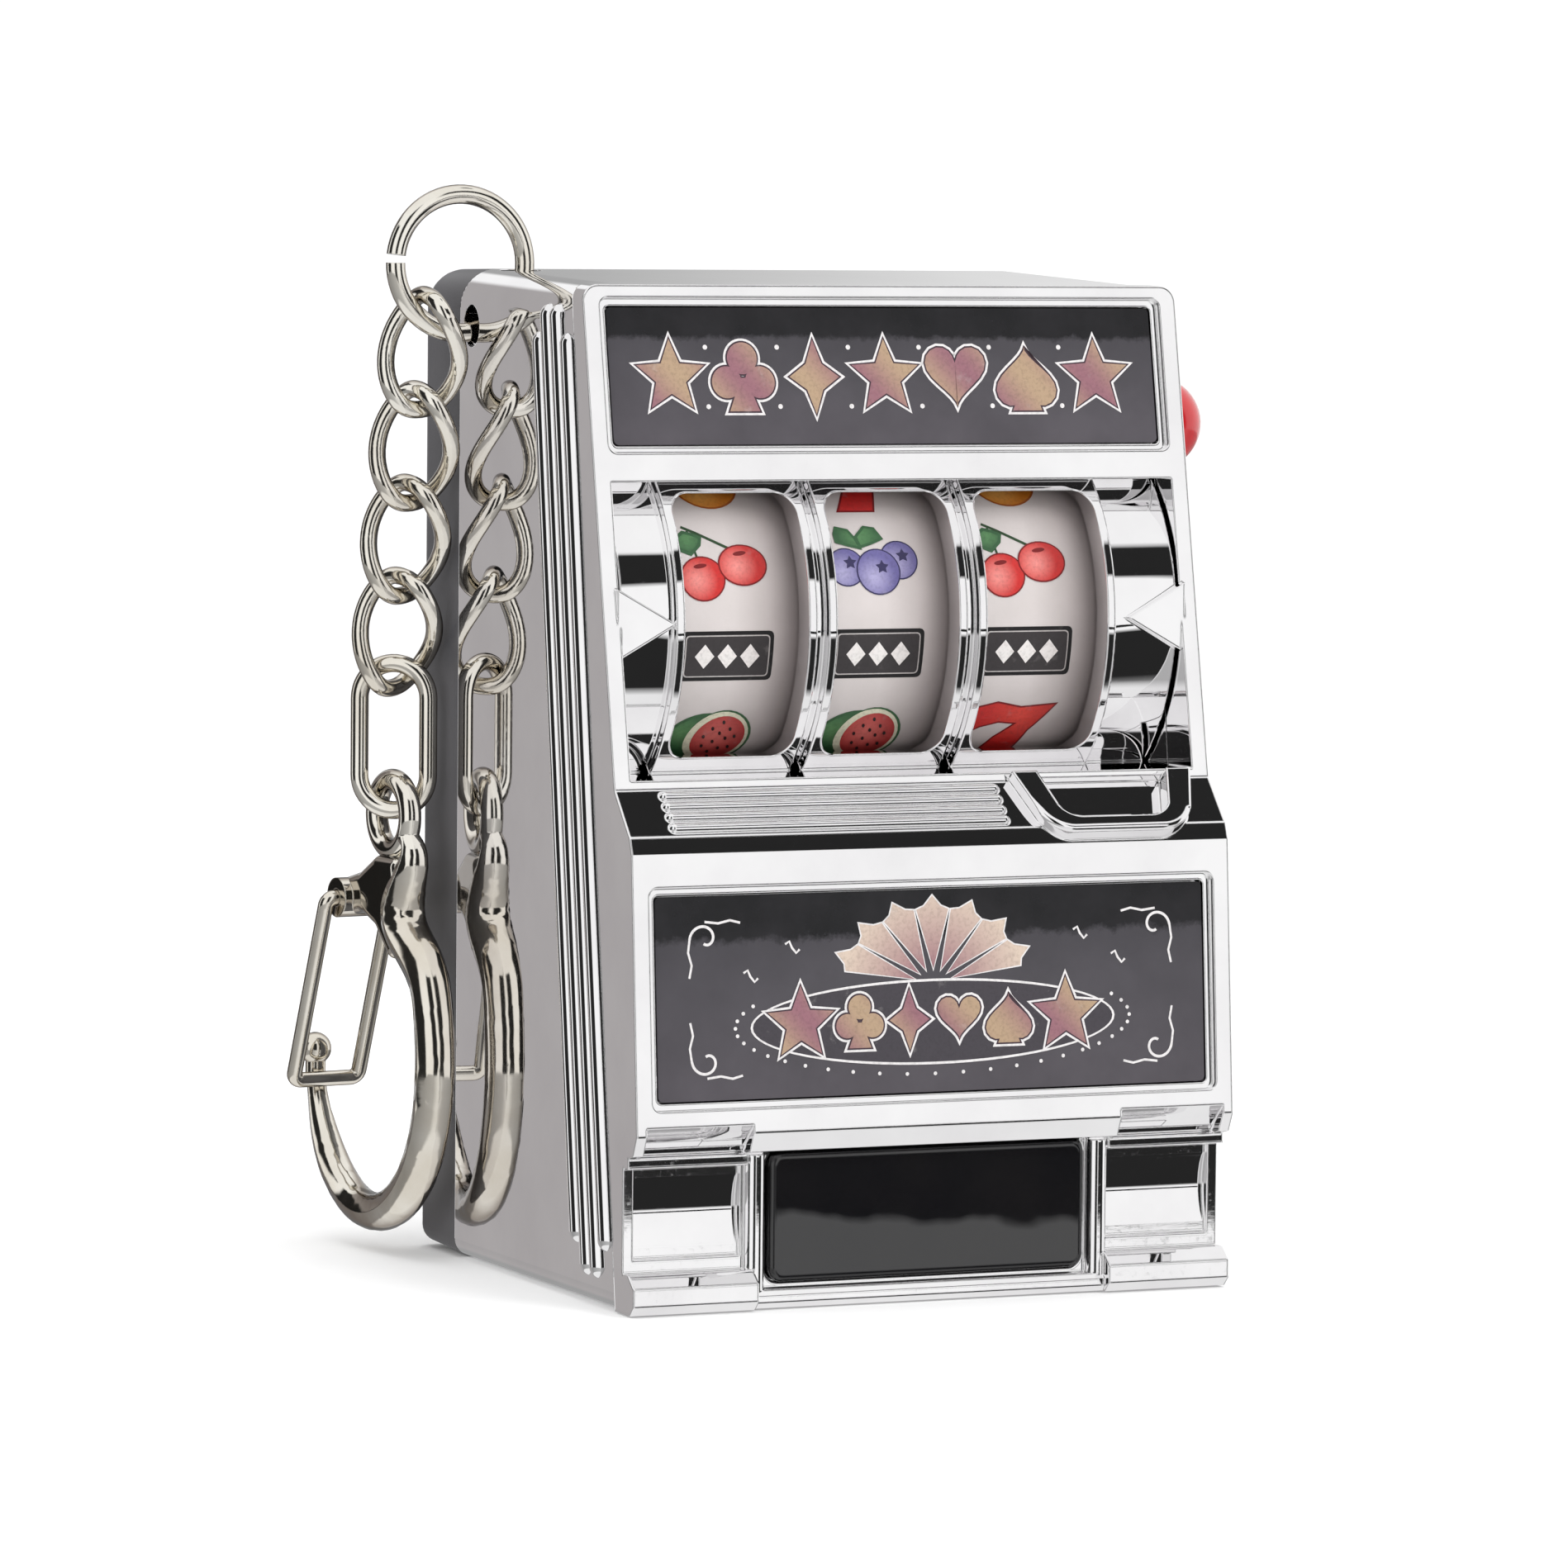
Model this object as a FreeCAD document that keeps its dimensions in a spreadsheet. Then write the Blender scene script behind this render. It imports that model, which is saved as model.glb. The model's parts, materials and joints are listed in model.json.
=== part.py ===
"""Key-ring slot machine toy: chromed case, three printed reels on a geared pull
lever, and a split ring with a short curb chain and a trigger clasp.

Frame: millimetres, +X to the right of the front face, +Y to the back, +Z up.
The origin is the centre of the underside.
"""
import FreeCAD
import Part
import math
import os
import Sketcher

Vector = FreeCAD.Vector
Rotation = FreeCAD.Rotation
Placement = FreeCAD.Placement

doc = FreeCAD.newDocument("SlotMachineToy")
sheet = doc.addObject("Spreadsheet::Sheet", "Dims")
nodes = []


class Size:
    """A number that remembers the spreadsheet formula it comes from."""

    def __init__(self, value, formula):
        self.value = value
        self.formula = formula

    def combine(self, other, sign, swap=False):
        number, text = split(other)
        if swap:
            return Size(apply(sign, number, self.value), "(%s %s %s)" % (text, sign, self.formula))
        return Size(apply(sign, self.value, number), "(%s %s %s)" % (self.formula, sign, text))

    def __add__(self, other):
        return self.combine(other, "+")

    def __radd__(self, other):
        return self.combine(other, "+", True)

    def __sub__(self, other):
        return self.combine(other, "-")

    def __rsub__(self, other):
        return self.combine(other, "-", True)

    def __mul__(self, other):
        return self.combine(other, "*")

    def __rmul__(self, other):
        return self.combine(other, "*", True)

    def __truediv__(self, other):
        return self.combine(other, "/")

    def __neg__(self):
        return Size(-self.value, "(0 - %s)" % self.formula)


def apply(sign, left, right):
    """Work out one step of a formula."""
    if sign == "+":
        return left + right
    if sign == "-":
        return left - right
    if sign == "*":
        return left * right
    return left / right


def split(item):
    """Give the number and the formula text of a size or a plain number."""
    if isinstance(item, Size):
        return item.value, item.formula
    return float(item), "%.6f" % item


def num(item):
    """Give the plain number of a size or of a number."""
    return split(item)[0]


row_count = 0


def dim(alias, value):
    """Write one dimension into the spreadsheet and hand back its size."""
    global row_count
    row_count += 1
    sheet.set("A%d" % row_count, alias)
    sheet.set("B%d" % row_count, "%.6f" % value)
    sheet.setAlias("B%d" % row_count, alias)
    return Size(float(value), "Dims." + alias)


def bind(item, prop, size):
    """Set a property to a size and tie it to the spreadsheet."""
    if isinstance(size, Size):
        item.setExpression(prop, size.formula)


# ---------------------------------------------------------------- helpers

def new_body(label):
    """Start a body whose label is the name of the finished piece."""
    body = doc.addObject("PartDesign::Body", label)
    body.Label = label
    nodes.append(body)
    return body


def add_arc(sketch, start, end, radius):
    """Add the shorter arc between two points; a positive radius turns left."""
    chord = end - start
    half = chord.Length / 2
    rise = math.sqrt(max(radius * radius - half * half, 0))
    left = Vector(-chord.y, chord.x, 0).normalize()
    turn = 1 if radius > 0 else -1
    centre = (start + end) * 0.5 + left * rise * turn
    first, last = (start, end) if radius > 0 else (end, start)
    from_angle = math.atan2(first.y - centre.y, first.x - centre.x)
    to_angle = math.atan2(last.y - centre.y, last.x - centre.x)
    circle = Part.Circle(centre, Vector(0, 0, 1), abs(radius))
    return sketch.addGeometry(Part.ArcOfCircle(circle, from_angle, to_angle), False)


def pin_point(sketch, geometry, point, corner):
    """Fix one sketch point at its two coordinates."""
    for kind, axis_value in (("DistanceX", corner[0]), ("DistanceY", corner[1])):
        index = sketch.addConstraint(Sketcher.Constraint(kind, -1, 1, geometry, point, num(axis_value)))
        bind(sketch, "Constraints[%d]" % index, axis_value)


def add_loop(sketch, corners):
    """Add a closed outline. A third value on a corner makes the next side an arc."""
    starts = []
    for index, corner in enumerate(corners):
        after = corners[(index + 1) % len(corners)]
        start = Vector(num(corner[0]), num(corner[1]), 0)
        end = Vector(num(after[0]), num(after[1]), 0)
        if len(corner) == 3:
            radius = num(corner[2])
            side = add_arc(sketch, start, end, radius)
            starts.append((side, 1, 2) if radius > 0 else (side, 2, 1))
            fixed = sketch.addConstraint(Sketcher.Constraint("Radius", side, abs(radius)))
            if isinstance(corner[2], Size):
                bind(sketch, "Constraints[%d]" % fixed, corner[2] if radius > 0 else -corner[2])
        else:
            side = sketch.addGeometry(Part.LineSegment(start, end), False)
            starts.append((side, 1, 2))
    for index, corner in enumerate(corners):
        after = starts[(index + 1) % len(corners)]
        this = starts[index]
        sketch.addConstraint(Sketcher.Constraint("Coincident", this[0], this[2], after[0], after[1]))
        pin_point(sketch, this[0], this[1], corner)


def add_circle(sketch, centre_u, centre_v, radius):
    """Add a full circle fixed by its centre and radius."""
    centre = Vector(num(centre_u), num(centre_v), 0)
    circle = sketch.addGeometry(Part.Circle(centre, Vector(0, 0, 1), num(radius)), False)
    pin_point(sketch, circle, 3, (centre_u, centre_v))
    index = sketch.addConstraint(Sketcher.Constraint("Radius", circle, num(radius)))
    bind(sketch, "Constraints[%d]" % index, radius)


def rounded(left, low, right, high, radius):
    """Outline of a rectangle with rounded corners."""
    r = radius
    return [(left + r, low), (right - r, low, r), (right, low + r), (right, high - r, r),
            (right - r, high), (left + r, high, r), (left, high - r), (left, low + r, r)]


def box_loop(left, low, right, high):
    """Outline of a plain rectangle."""
    return [(left, low), (right, low), (right, high), (left, high)]


def new_sketch(body, role, loops, offset=(0, 0, 0), tilt=0):
    """Place a sketch on one of the body's own planes and draw its outlines."""
    sketch = body.newObject("Sketcher::SketchObject", body.Label + "_sketch")
    plane = [item for item in body.Origin.OriginFeatures if item.Role == role][0]
    sketch.AttachmentSupport = (plane, [""])
    sketch.MapMode = "FlatFace"
    base = Vector(*[num(item) for item in offset])
    sketch.AttachmentOffset = Placement(base, Rotation(Vector(1, 0, 0), tilt))
    for name, item in zip("xyz", offset):
        bind(sketch, ".AttachmentOffset.Base." + name, item)
    for loop in loops:
        if isinstance(loop, tuple):
            add_circle(sketch, *loop)
        else:
            add_loop(sketch, loop)
    return sketch


# Normal of each body plane, seen as a sign along its global axis.
PLANES = {"x": ("YZ_Plane", 1), "y": ("XZ_Plane", -1), "z": ("XY_Plane", 1)}


def extrude(body, axis, loops, start, end, cut=False):
    """Pad or pocket outlines between two positions along a global axis."""
    role, facing = PLANES[axis]
    sketch = new_sketch(body, role, loops, (0, 0, start * facing))
    kind = "PartDesign::Pocket" if cut else "PartDesign::Pad"
    feature = body.newObject(kind, body.Label + "_" + axis)
    feature.Refine = False
    feature.Profile = sketch
    forward = num(end - start) * facing > 0
    span = end - start if num(end) > num(start) else start - end
    feature.Length = num(span)
    bind(feature, "Length", span)
    feature.Reversed = forward if cut else not forward
    return feature


def extrude_tilted(body, foot, tilt, loops, depth_from, depth_to, cut=False):
    """Pad or pocket on a plane that holds the X axis and leans back by tilt degrees.

    foot is the (y, z) of the sketch origin; depths run outward, away from the body.
    """
    lean = math.radians(tilt)
    y = num(foot[0]) - depth_from * math.cos(lean)
    z = num(foot[1]) + depth_from * math.sin(lean)
    sketch = new_sketch(body, "XZ_Plane", loops, (0, z, -y), -tilt)
    kind = "PartDesign::Pocket" if cut else "PartDesign::Pad"
    feature = body.newObject(kind, body.Label + "_tilted")
    feature.Refine = False
    feature.Profile = sketch
    feature.Length = abs(depth_to - depth_from)
    outward = depth_to > depth_from
    feature.Reversed = outward if cut else not outward
    return feature


def revolve(body, role, loops, offset, axis, angle=360, middle=False, cut=False):
    """Turn outlines about the H or V axis of their sketch."""
    sketch = new_sketch(body, role, loops, offset)
    kind = "PartDesign::Groove" if cut else "PartDesign::Revolution"
    feature = body.newObject(kind, body.Label + "_turned")
    feature.Refine = False
    feature.Profile = sketch
    feature.ReferenceAxis = (sketch, [axis + "_Axis"])
    feature.Angle = angle
    feature.Midplane = middle
    return feature


def primitive(body, kind, base, axis, cut=False, **sizes):
    """Add or cut a cylinder or sphere whose own Z axis points along axis."""
    prefix = "PartDesign::Subtractive" if cut else "PartDesign::Additive"
    feature = body.newObject(prefix + kind, body.Label + "_" + kind.lower())
    feature.Refine = False
    position = Vector(*[num(item) for item in base])
    feature.Placement = Placement(position, Rotation(Vector(0, 0, 1), Vector(*axis)))
    for name, item in zip("xyz", base):
        bind(feature, ".Placement.Base." + name, item)
    for prop, size in sizes.items():
        setattr(feature, prop, num(size))
        bind(feature, prop, size)
    return feature


def fillet(body, radius, choose):
    """Round the edges of the body's last feature that choose picks out."""
    doc.recompute()
    last = body.Tip
    names = ["Edge%d" % (index + 1) for index, edge in enumerate(last.Shape.Edges) if choose(edge)]
    feature = body.newObject("PartDesign::Fillet", body.Label + "_round")
    feature.Base = (last, names)
    feature.Radius = num(radius)
    bind(feature, "Radius", radius)
    return feature


def polar(body, original, axis_role, count, sweep=360):
    """Repeat a feature around one of the body's own axes."""
    feature = body.newObject("PartDesign::PolarPattern", body.Label + "_ring")
    feature.Originals = [original]
    axis = [item for item in body.Origin.OriginFeatures if item.Role == axis_role][0]
    feature.Axis = (axis, [""])
    feature.Angle = sweep
    feature.Occurrences = count
    body.Tip = feature
    return feature


def along(edge, axis):
    """Tell whether an edge runs parallel to a direction."""
    ends = [vertex.Point for vertex in edge.Vertexes]
    if len(ends) < 2 or (ends[1] - ends[0]).Length < 1e-6:
        return False
    return abs((ends[1] - ends[0]).normalize().dot(Vector(*axis))) > 0.985


def middle_of(edge):
    """Middle point of an edge's box."""
    return edge.BoundBox.Center


def outward_of_deck(point):
    """Height of a point above the sloping deck of the fascia."""
    lean = math.radians(DECK_TILT)
    return (point.z - deck_foot[1]) * math.sin(lean) - (point.y - deck_foot[0]) * math.cos(lean)


def place(body, base, rotation=None):
    """Move a body that was drawn about its own origin to its place."""
    position = Vector(*[num(item) for item in base])
    body.Placement = Placement(position, rotation or Rotation())
    for name, item in zip("xyz", base):
        bind(body, ".Placement.Base." + name, item)


# ---------------------------------------------------------------- sizes

half_width = dim("body_half_width", 18)
wall = dim("wall_thickness", 1.0)
top_rear = dim("height_at_back", 56.2)
top_front = dim("height_at_front", 55.6)
seam_y = dim("cover_seam_depth", 10.3)
rear_y = dim("cover_back_depth", 16.2)
split_top_y = dim("fascia_joint_top", -6.2)
split_low_y = dim("fascia_joint_foot", -13.5)
case_round = dim("case_corner_radius", 2.2)
inner_half = half_width - wall

reel_y = dim("reel_axis_depth", -0.4)
reel_z = dim("reel_axis_height", 37)
reel_pitch = dim("reel_pitch", 9.1)
reel_radius = dim("reel_rim_radius", 9.0)
strip_thickness = dim("strip_thickness", 0.2)
drum_half = dim("drum_half_width", 3.95)
strip_half = dim("strip_half_width", 3.8)
axle_radius = dim("axle_radius", 1.0)
running_gap = dim("running_clearance", 0.05)
star_radius = dim("star_wheel_radius", 7.6)
star_width = dim("star_wheel_width", 0.7)
SYMBOLS_PER_REEL = 11

lever_y = dim("lever_axis_depth", 4.0)
lever_z = dim("lever_axis_height", 24.56)
shaft_radius = dim("lever_shaft_radius", 1.5)
ball_x = dim("ball_across", 21.5)
ball_y = dim("ball_depth", 1.6)
ball_z = dim("ball_height", 47.6)
ball_radius = dim("ball_radius", 2.7)

frame_half = dim("window_frame_half_width", 17)
window_half = dim("window_half_width", 3.7)
window_shift = dim("window_shift", 0.5)
window_band = dim("window_band_width", 0.5)
window_low = dim("window_low", 29.7)
window_high = dim("window_high", 44.2)
recess_low = dim("reel_recess_low", 28.8)
recess_high = dim("reel_recess_high", 44.9)
floor_inner = dim("recess_floor_inner_radius", 9.6)
floor_outer = dim("recess_floor_outer_radius", 10.45)
rim_outer = dim("window_rim_radius", 11.05)

FACE_TILT = 10.68
BELLY_TILT = 4.03
DECK_TILT = 42.0


# ---------------------------------------------------------------- main housing

housing = new_body("main_housing")
side_outline = [(seam_y, 0), (seam_y, top_rear), (split_top_y, top_front + 0.05), (split_low_y, 0)]
extrude(housing, "x", [side_outline], -half_width, half_width)
fillet(housing, case_round, lambda edge: along(edge, (0, 1, 0)) and middle_of(edge).z > 50)
fillet(housing, 1.0, lambda edge: along(edge, (0, 1, 0)) and middle_of(edge).z < 5)
cavity = [(seam_y + 1, wall), (seam_y + 1, top_rear - wall), (-8.5, top_front - wall - 0.05),
          (-15, wall)]
extrude(housing, "x", [cavity], -inner_half, inner_half, cut=True)

# Screw pillars moulded into the four corners.
pillar_x = dim("cover_screw_across", 14.4)
pillar_low = dim("cover_screw_low", 4.6)
pillar_high = dim("cover_screw_high", 48.9)
screw_radius = dim("cover_screw_radius", 0.8)
for side in (-1, 1):
    for height in (pillar_low, pillar_high):
        inner = pillar_x - 1.9
        outer = inner_half + 0.2
        left, right = (inner, outer) if side > 0 else (-outer, -inner)
        extrude(housing, "y", [box_loop(left, height - 1.9, right, height + 1.9)], 2.0, 8.6)
for side in (-1, 1):
    for height in (pillar_low, pillar_high):
        bore = (pillar_x * side, height, screw_radius + running_gap)
        extrude(housing, "y", [bore], 1.5, 9.0, cut=True)

# Bearing for the lever shaft in the right wall.
primitive(housing, "Cylinder", (inner_half - 0.4, lever_y, lever_z), (1, 0, 0), Radius=3.0, Height=0.6)
primitive(housing, "Cylinder", (inner_half - 1, lever_y, lever_z), (1, 0, 0), cut=True,
          Radius=shaft_radius + running_gap, Height=4)

# Two holes in the upper left corner for the split ring.
ring_y = dim("ring_depth", 8.6)
ring_hole = dim("ring_hole_radius", 1.2)
primitive(housing, "Cylinder", (-half_width - 1, ring_y, 53.0), (1, 0, 0), cut=True,
          Radius=ring_hole, Height=3)
primitive(housing, "Cylinder", (-15.0, ring_y, 54), (0, 0, 1), cut=True,
          Radius=ring_hole, Height=4)

# Four half-round ribs down each side, following the lean of the front.
rib_lean = math.radians(7.5)
rib_radius = dim("rib_radius", 0.66)
for side in (-1, 1):
    for index in range(4):
        centred = abs(index - 1.5)
        top_z = 54.0 - 0.75 * centred * centred
        low_z = 1.3 + 1.6 * centred
        top_y = -1.35 - 1.36 * index + (54.2 - top_z) * -math.tan(rib_lean)
        length = (top_z - low_z) / math.cos(rib_lean)
        down = (0, -math.sin(rib_lean), -math.cos(rib_lean))
        foot_y = top_y + down[1] * length
        rib_x = (half_width - 0.25) * side
        primitive(housing, "Cylinder", (rib_x, top_y, top_z), down, Radius=rib_radius, Height=length)
        primitive(housing, "Sphere", (rib_x, top_y, top_z), (0, 0, 1), Radius=rib_radius)
        primitive(housing, "Sphere", (rib_x, foot_y, low_z), (0, 0, 1), Radius=rib_radius)


# ---------------------------------------------------------------- front fascia

fascia = new_body("fascia")
front_outline = [(split_top_y, top_front + 0.05), (-7.7, top_front), (-12.86, 28.3), (-15.0, 25.92),
                 (-15.35, 25.0), (-16.4, 9.8), (-15.9, 8.7), (-14.5, 8.4), (-14.5, 0), (split_low_y, 0)]
extrude(fascia, "x", [front_outline], -half_width, half_width)
fillet(fascia, 0.9, lambda edge: along(edge, (0, 1, 0)) and abs(middle_of(edge).x) > 17
       and middle_of(edge).z > 50)

# Plug that carries the marquee and reel recesses back into the housing.
plug = [(-7.5, 53.9), (-5.95, 53.9), (-7.15, 47.5), (-5.6, 46.3), (-5.6, 28.6), (-6.4, 27.5),
        (-9.8, 26.4), (-12.3, 26.4), (-12.3, 28.5)]
extrude(fascia, "x", [plug], 0.15 - inner_half, inner_half - 0.15)

# Reel recess with its curved floor and a raised band round each window.
recess = [(-14.5, recess_low), (-4.5, recess_low), (-4.5, recess_high), (-14.5, recess_high)]
extrude(fascia, "x", [recess], -frame_half, frame_half, cut=True)
revolve(fascia, "XY_Plane", [box_loop(0.15 - frame_half, -floor_outer, frame_half - 0.15, -floor_inner)],
        (0, reel_y, reel_z), "H", 117, middle=True)
for step in (-1, 0, 1):
    centre = reel_pitch * step - window_shift
    band_half = window_half + window_band
    band = box_loop(centre - band_half, -rim_outer, centre + band_half, -floor_inner - 0.4)
    revolve(fascia, "XY_Plane", [band], (0, reel_y, reel_z), "H", 97, middle=True)
for step in (-1, 0, 1):
    centre = reel_pitch * step - window_shift
    opening = rounded(centre - window_half, window_low, centre + window_half, window_high, 1.1)
    extrude(fascia, "y", [opening], -14.0, -4.9, cut=True)

# Pointers at the two ends of the pay line.
for side in (-1, 1):
    pointer = [(17.2 * side, 39.1), (13.7 * side, 37.15), (17.2 * side, 35.2)]
    extrude(fascia, "y", [pointer], -11.2, -9.0)

# Marquee frame: two steps down to the seat of the printed panel.
marquee_foot = (-9.11, 48.14)
frame_step = rounded(-17.0, -1.7, 17.0, 6.9, 0.5)
panel_seat = rounded(-16.6, -1.3, 16.6, 6.5, 0.3)
extrude_tilted(fascia, marquee_foot, FACE_TILT, [frame_step], -0.45, 1.0, cut=True)
extrude_tilted(fascia, marquee_foot, FACE_TILT, [panel_seat], -1.15, 0, cut=True)

# Belly frame, same make.
belly_foot = (-15.875, 17.25)
frame_step = rounded(-17.0, -6.15, 17.0, 5.95, 0.5)
panel_seat = rounded(-16.6, -5.75, 16.6, 5.55, 0.3)
extrude_tilted(fascia, belly_foot, BELLY_TILT, [frame_step], -0.45, 1.0, cut=True)
extrude_tilted(fascia, belly_foot, BELLY_TILT, [panel_seat], -1.15, 0, cut=True)
belly_cavity = [(-8.0, 25.0), (-12.7, 25.0), (-13.5, 24.0), (-14.3, 10.6), (-11.0, 10.2),
                (-8.0, 10.2)]
extrude(fascia, "x", [belly_cavity], 0.15 - inner_half, inner_half - 0.15, cut=True)

# Deck between the reels and the belly: four ridges and a coin cup.
deck_foot = (-13.93, 27.11)
deck_lean = math.radians(DECK_TILT)
for index in range(4):
    slide = 1.1 - 0.72 * index
    ridge_y = deck_foot[0] + slide * math.sin(deck_lean)
    ridge_z = deck_foot[1] + slide * math.cos(deck_lean)
    primitive(fascia, "Cylinder", (-15.2, ridge_y, ridge_z), (1, 0, 0), Radius=0.3, Height=19.7)
    for end in (-15.2, 4.5):
        primitive(fascia, "Sphere", (end, ridge_y, ridge_z), (0, 0, 1), Radius=0.3)
cup_outline = [(5.6, 1.75), (6.5, -1.2, 2.2), (8.6, -2.35), (13.6, -2.35, 2.2), (15.7, -1.2),
               (16.6, 1.75)]
cup_hollow = [(7.1, 1.75), (7.75, -0.7, 1.5), (9.2, -1.45), (13.0, -1.45, 1.5), (14.45, -0.7),
              (15.1, 1.75)]
extrude_tilted(fascia, deck_foot, DECK_TILT, [cup_outline], -0.6, 0.75)


def on_cup_lip(edge):
    """Pick the outer top edges of the cup's front half."""
    box = edge.BoundBox
    middle = middle_of(edge)
    within_cup = box.XMin > 5.5 and box.XMax < 16.7 and 25.2 < middle.z < 27.4
    at_front = box.YMin < -15.0 and middle.y < -13.2
    return within_cup and at_front and box.DiagonalLength > 1.2 and outward_of_deck(middle) > 0.4


fillet(fascia, 0.3, on_cup_lip)
extrude_tilted(fascia, deck_foot, DECK_TILT, [cup_hollow], -0.45, 1.5, cut=True)

# Base: two dished side panels, two round posts, a seat for the tray panel, feet and lip.
dish_radius = 6.0
for left, right in ((-17.4, -11.1), (11.1, 17.4)):
    extrude(fascia, "y", [box_loop(left, 2.9, right, 7.9)], -14.6, -14.2, cut=True)
    primitive(fascia, "Cylinder", (left, -14.25 - dish_radius + 0.35, 5.4), (1, 0, 0), cut=True,
              Radius=dish_radius, Height=right - left)
for across in (-10.35, 10.35):
    primitive(fascia, "Cylinder", (across, -14.75, 0.5), (0, 0, 1), Radius=0.55, Height=7.95)
extrude(fascia, "y", [rounded(-9.6, 1.25, 9.6, 8.6, 0.8)], -14.0, -15.0, cut=True)
for left, right in ((-half_width, -10.6), (10.6, half_width)):
    foot = [(-15.6, 0), (-16.1, 0.5), (-16.1, 1.5), (-15.3, 2.15), (-14.4, 2.15), (-14.4, 0)]
    extrude(fascia, "x", [foot], left, right)
lip = [(-15.2, 0), (-15.45, 0.3), (-15.45, 0.7), (-15.2, 1.0), (-14.4, 1.0), (-14.4, 0)]
extrude(fascia, "x", [lip], -10.7, 10.7)
for left, right in ((-half_width, -10.9), (10.9, half_width)):
    rail = [(-15.2, 7.95), (-15.2, 8.5), (-14.4, 8.8), (-14.4, 7.95)]
    extrude(fascia, "x", [rail], left, right)


# ---------------------------------------------------------------- printed and gloss panels

marquee = new_body("marquee_panel")
extrude_tilted(marquee, marquee_foot, FACE_TILT, [rounded(-16.5, -1.2, 16.5, 6.4, 0.3)], -1.15, -0.5)

belly = new_body("belly_panel")
extrude_tilted(belly, belly_foot, BELLY_TILT, [rounded(-16.5, -5.65, 16.5, 5.45, 0.3)], -1.15, -0.5)

tray = new_body("tray_panel")
extrude(tray, "y", [rounded(-9.5, 1.35, 9.5, 8.5, 0.75)], -14.0, -15.05)
fillet(tray, 0.35, lambda edge: edge.BoundBox.YMax < -15.0)


# ---------------------------------------------------------------- rear cover

cover = new_body("rear_cover")
cover_outline = [(seam_y, 0), (rear_y, 0.2), (rear_y, top_rear - 0.1), (seam_y, top_rear)]
extrude(cover, "x", [cover_outline], -half_width, half_width)
fillet(cover, case_round, lambda edge: along(edge, (0, 1, 0)) and middle_of(edge).z > 50)
fillet(cover, 1.0, lambda edge: along(edge, (0, 1, 0)) and middle_of(edge).z < 5)
fillet(cover, 1.0, lambda edge: edge.BoundBox.YMin > 16.1)
cover_wall = dim("cover_wall", 1.3)
cover_hollow = [(seam_y - 1, cover_wall), (rear_y - cover_wall, cover_wall),
                (rear_y - cover_wall, top_rear - cover_wall), (seam_y - 1, top_rear - cover_wall)]
extrude(cover, "x", [cover_hollow], cover_wall - half_width, half_width - cover_wall, cut=True)

# Short tongues that locate the cover inside the housing.
tongues = [box_loop(-11, wall + 0.1, 11, wall + 1.0),
           box_loop(-9, top_rear - wall - 1.0, 11, top_rear - wall - 0.1),
           box_loop(0.1 - inner_half, 9, 1.0 - inner_half, 43),
           box_loop(inner_half - 1.0, 9, inner_half - 0.1, 20)]
for tongue in tongues:
    extrude(cover, "y", [tongue], 9.0, rear_y - 1)

# Sleeves for the four cover screws and two posts for the reel cradle.
for side in (-1, 1):
    for height in (pillar_low, pillar_high):
        across = pillar_x * side
        extrude(cover, "y", [(across, height, 1.8)], 8.7, rear_y - 1)
        extrude(cover, "y", [(across, height, screw_radius + 0.1)], 8.0, rear_y + 1, cut=True)
        extrude(cover, "y", [(across, height, 1.7)], 14.2, rear_y + 1, cut=True)
post_x = dim("cradle_post_across", 7.5)
post_z = dim("cradle_post_height", 38)
for side in (-1, 1):
    extrude(cover, "y", [(post_x * side, post_z, 2.0)], 12.3, rear_y - 1)
    extrude(cover, "y", [(post_x * side, post_z, 0.65)], 12.0, 14.9, cut=True)

# A shallow framed label seat on the back.
extrude(cover, "y", [rounded(-11, 12, 11, 22, 1.0)], rear_y - 0.25, rear_y + 1, cut=True)
extrude(cover, "y", [rounded(-10.4, 12.6, 10.4, 21.4, 0.6)], rear_y - 0.5, rear_y - 0.05)


def screw(label, across, height, head_y, tip_y, shank, head):
    """A cross-slotted screw along Y; the head faces head_y."""
    body = new_body(label)
    way = 1 if head_y > tip_y else -1
    under = head_y - 0.9 * way
    profile = [(0, tip_y), (shank * 0.4, tip_y), (shank, tip_y + 0.8 * way), (shank, under),
               (head, under), (head, head_y - 0.3 * way), (head * 0.7, head_y), (0, head_y)]
    if way < 0:
        profile.reverse()
    revolve(body, "XY_Plane", [profile], (across, 0, height), "V")
    half_slot = 0.16
    reach = head * 0.65
    upright = box_loop(across - half_slot, height - reach, across + half_slot, height + reach)
    level = box_loop(across - reach, height - half_slot, across + reach, height + half_slot)
    for slot in (upright, level):
        extrude(body, "y", [slot], head_y - 0.4 * way, head_y + 0.2 * way, cut=True)
    return body


for side, side_name in ((-1, "left"), (1, "right")):
    for height, height_name in ((pillar_low, "lower"), (pillar_high, "upper")):
        screw("cover_screw_%s_%s" % (height_name, side_name), pillar_x * side, height,
              15.15, 4.0, screw_radius, 1.55)


# ---------------------------------------------------------------- reel cradle

cradle = new_body("reel_cradle")
bar_front = dim("cradle_bar_front", 11.3)
bar_back = dim("cradle_bar_back", 12.3)
plate_left = dim("cradle_left_plate", -15.0)
plate_right = dim("cradle_right_plate", 13.7)
plate_thickness = dim("cradle_plate", 0.8)
right_side = [(bar_back, 21.9), (bar_back, 41.5), (1.5, 40.3), (-2.0, 39.6), (-2.8, 36.4),
              (0.7, 24.4), (3.2, 21.4), (5.5, 21.3)]
left_side = [(bar_back, 31.0), (bar_back, 41.5), (1.5, 40.3), (-2.0, 39.6), (-2.8, 36.4),
             (0.5, 33.8)]
extrude(cradle, "x", [right_side], plate_right, plate_right + plate_thickness)
extrude(cradle, "x", [left_side], plate_left, plate_left + plate_thickness)
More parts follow.
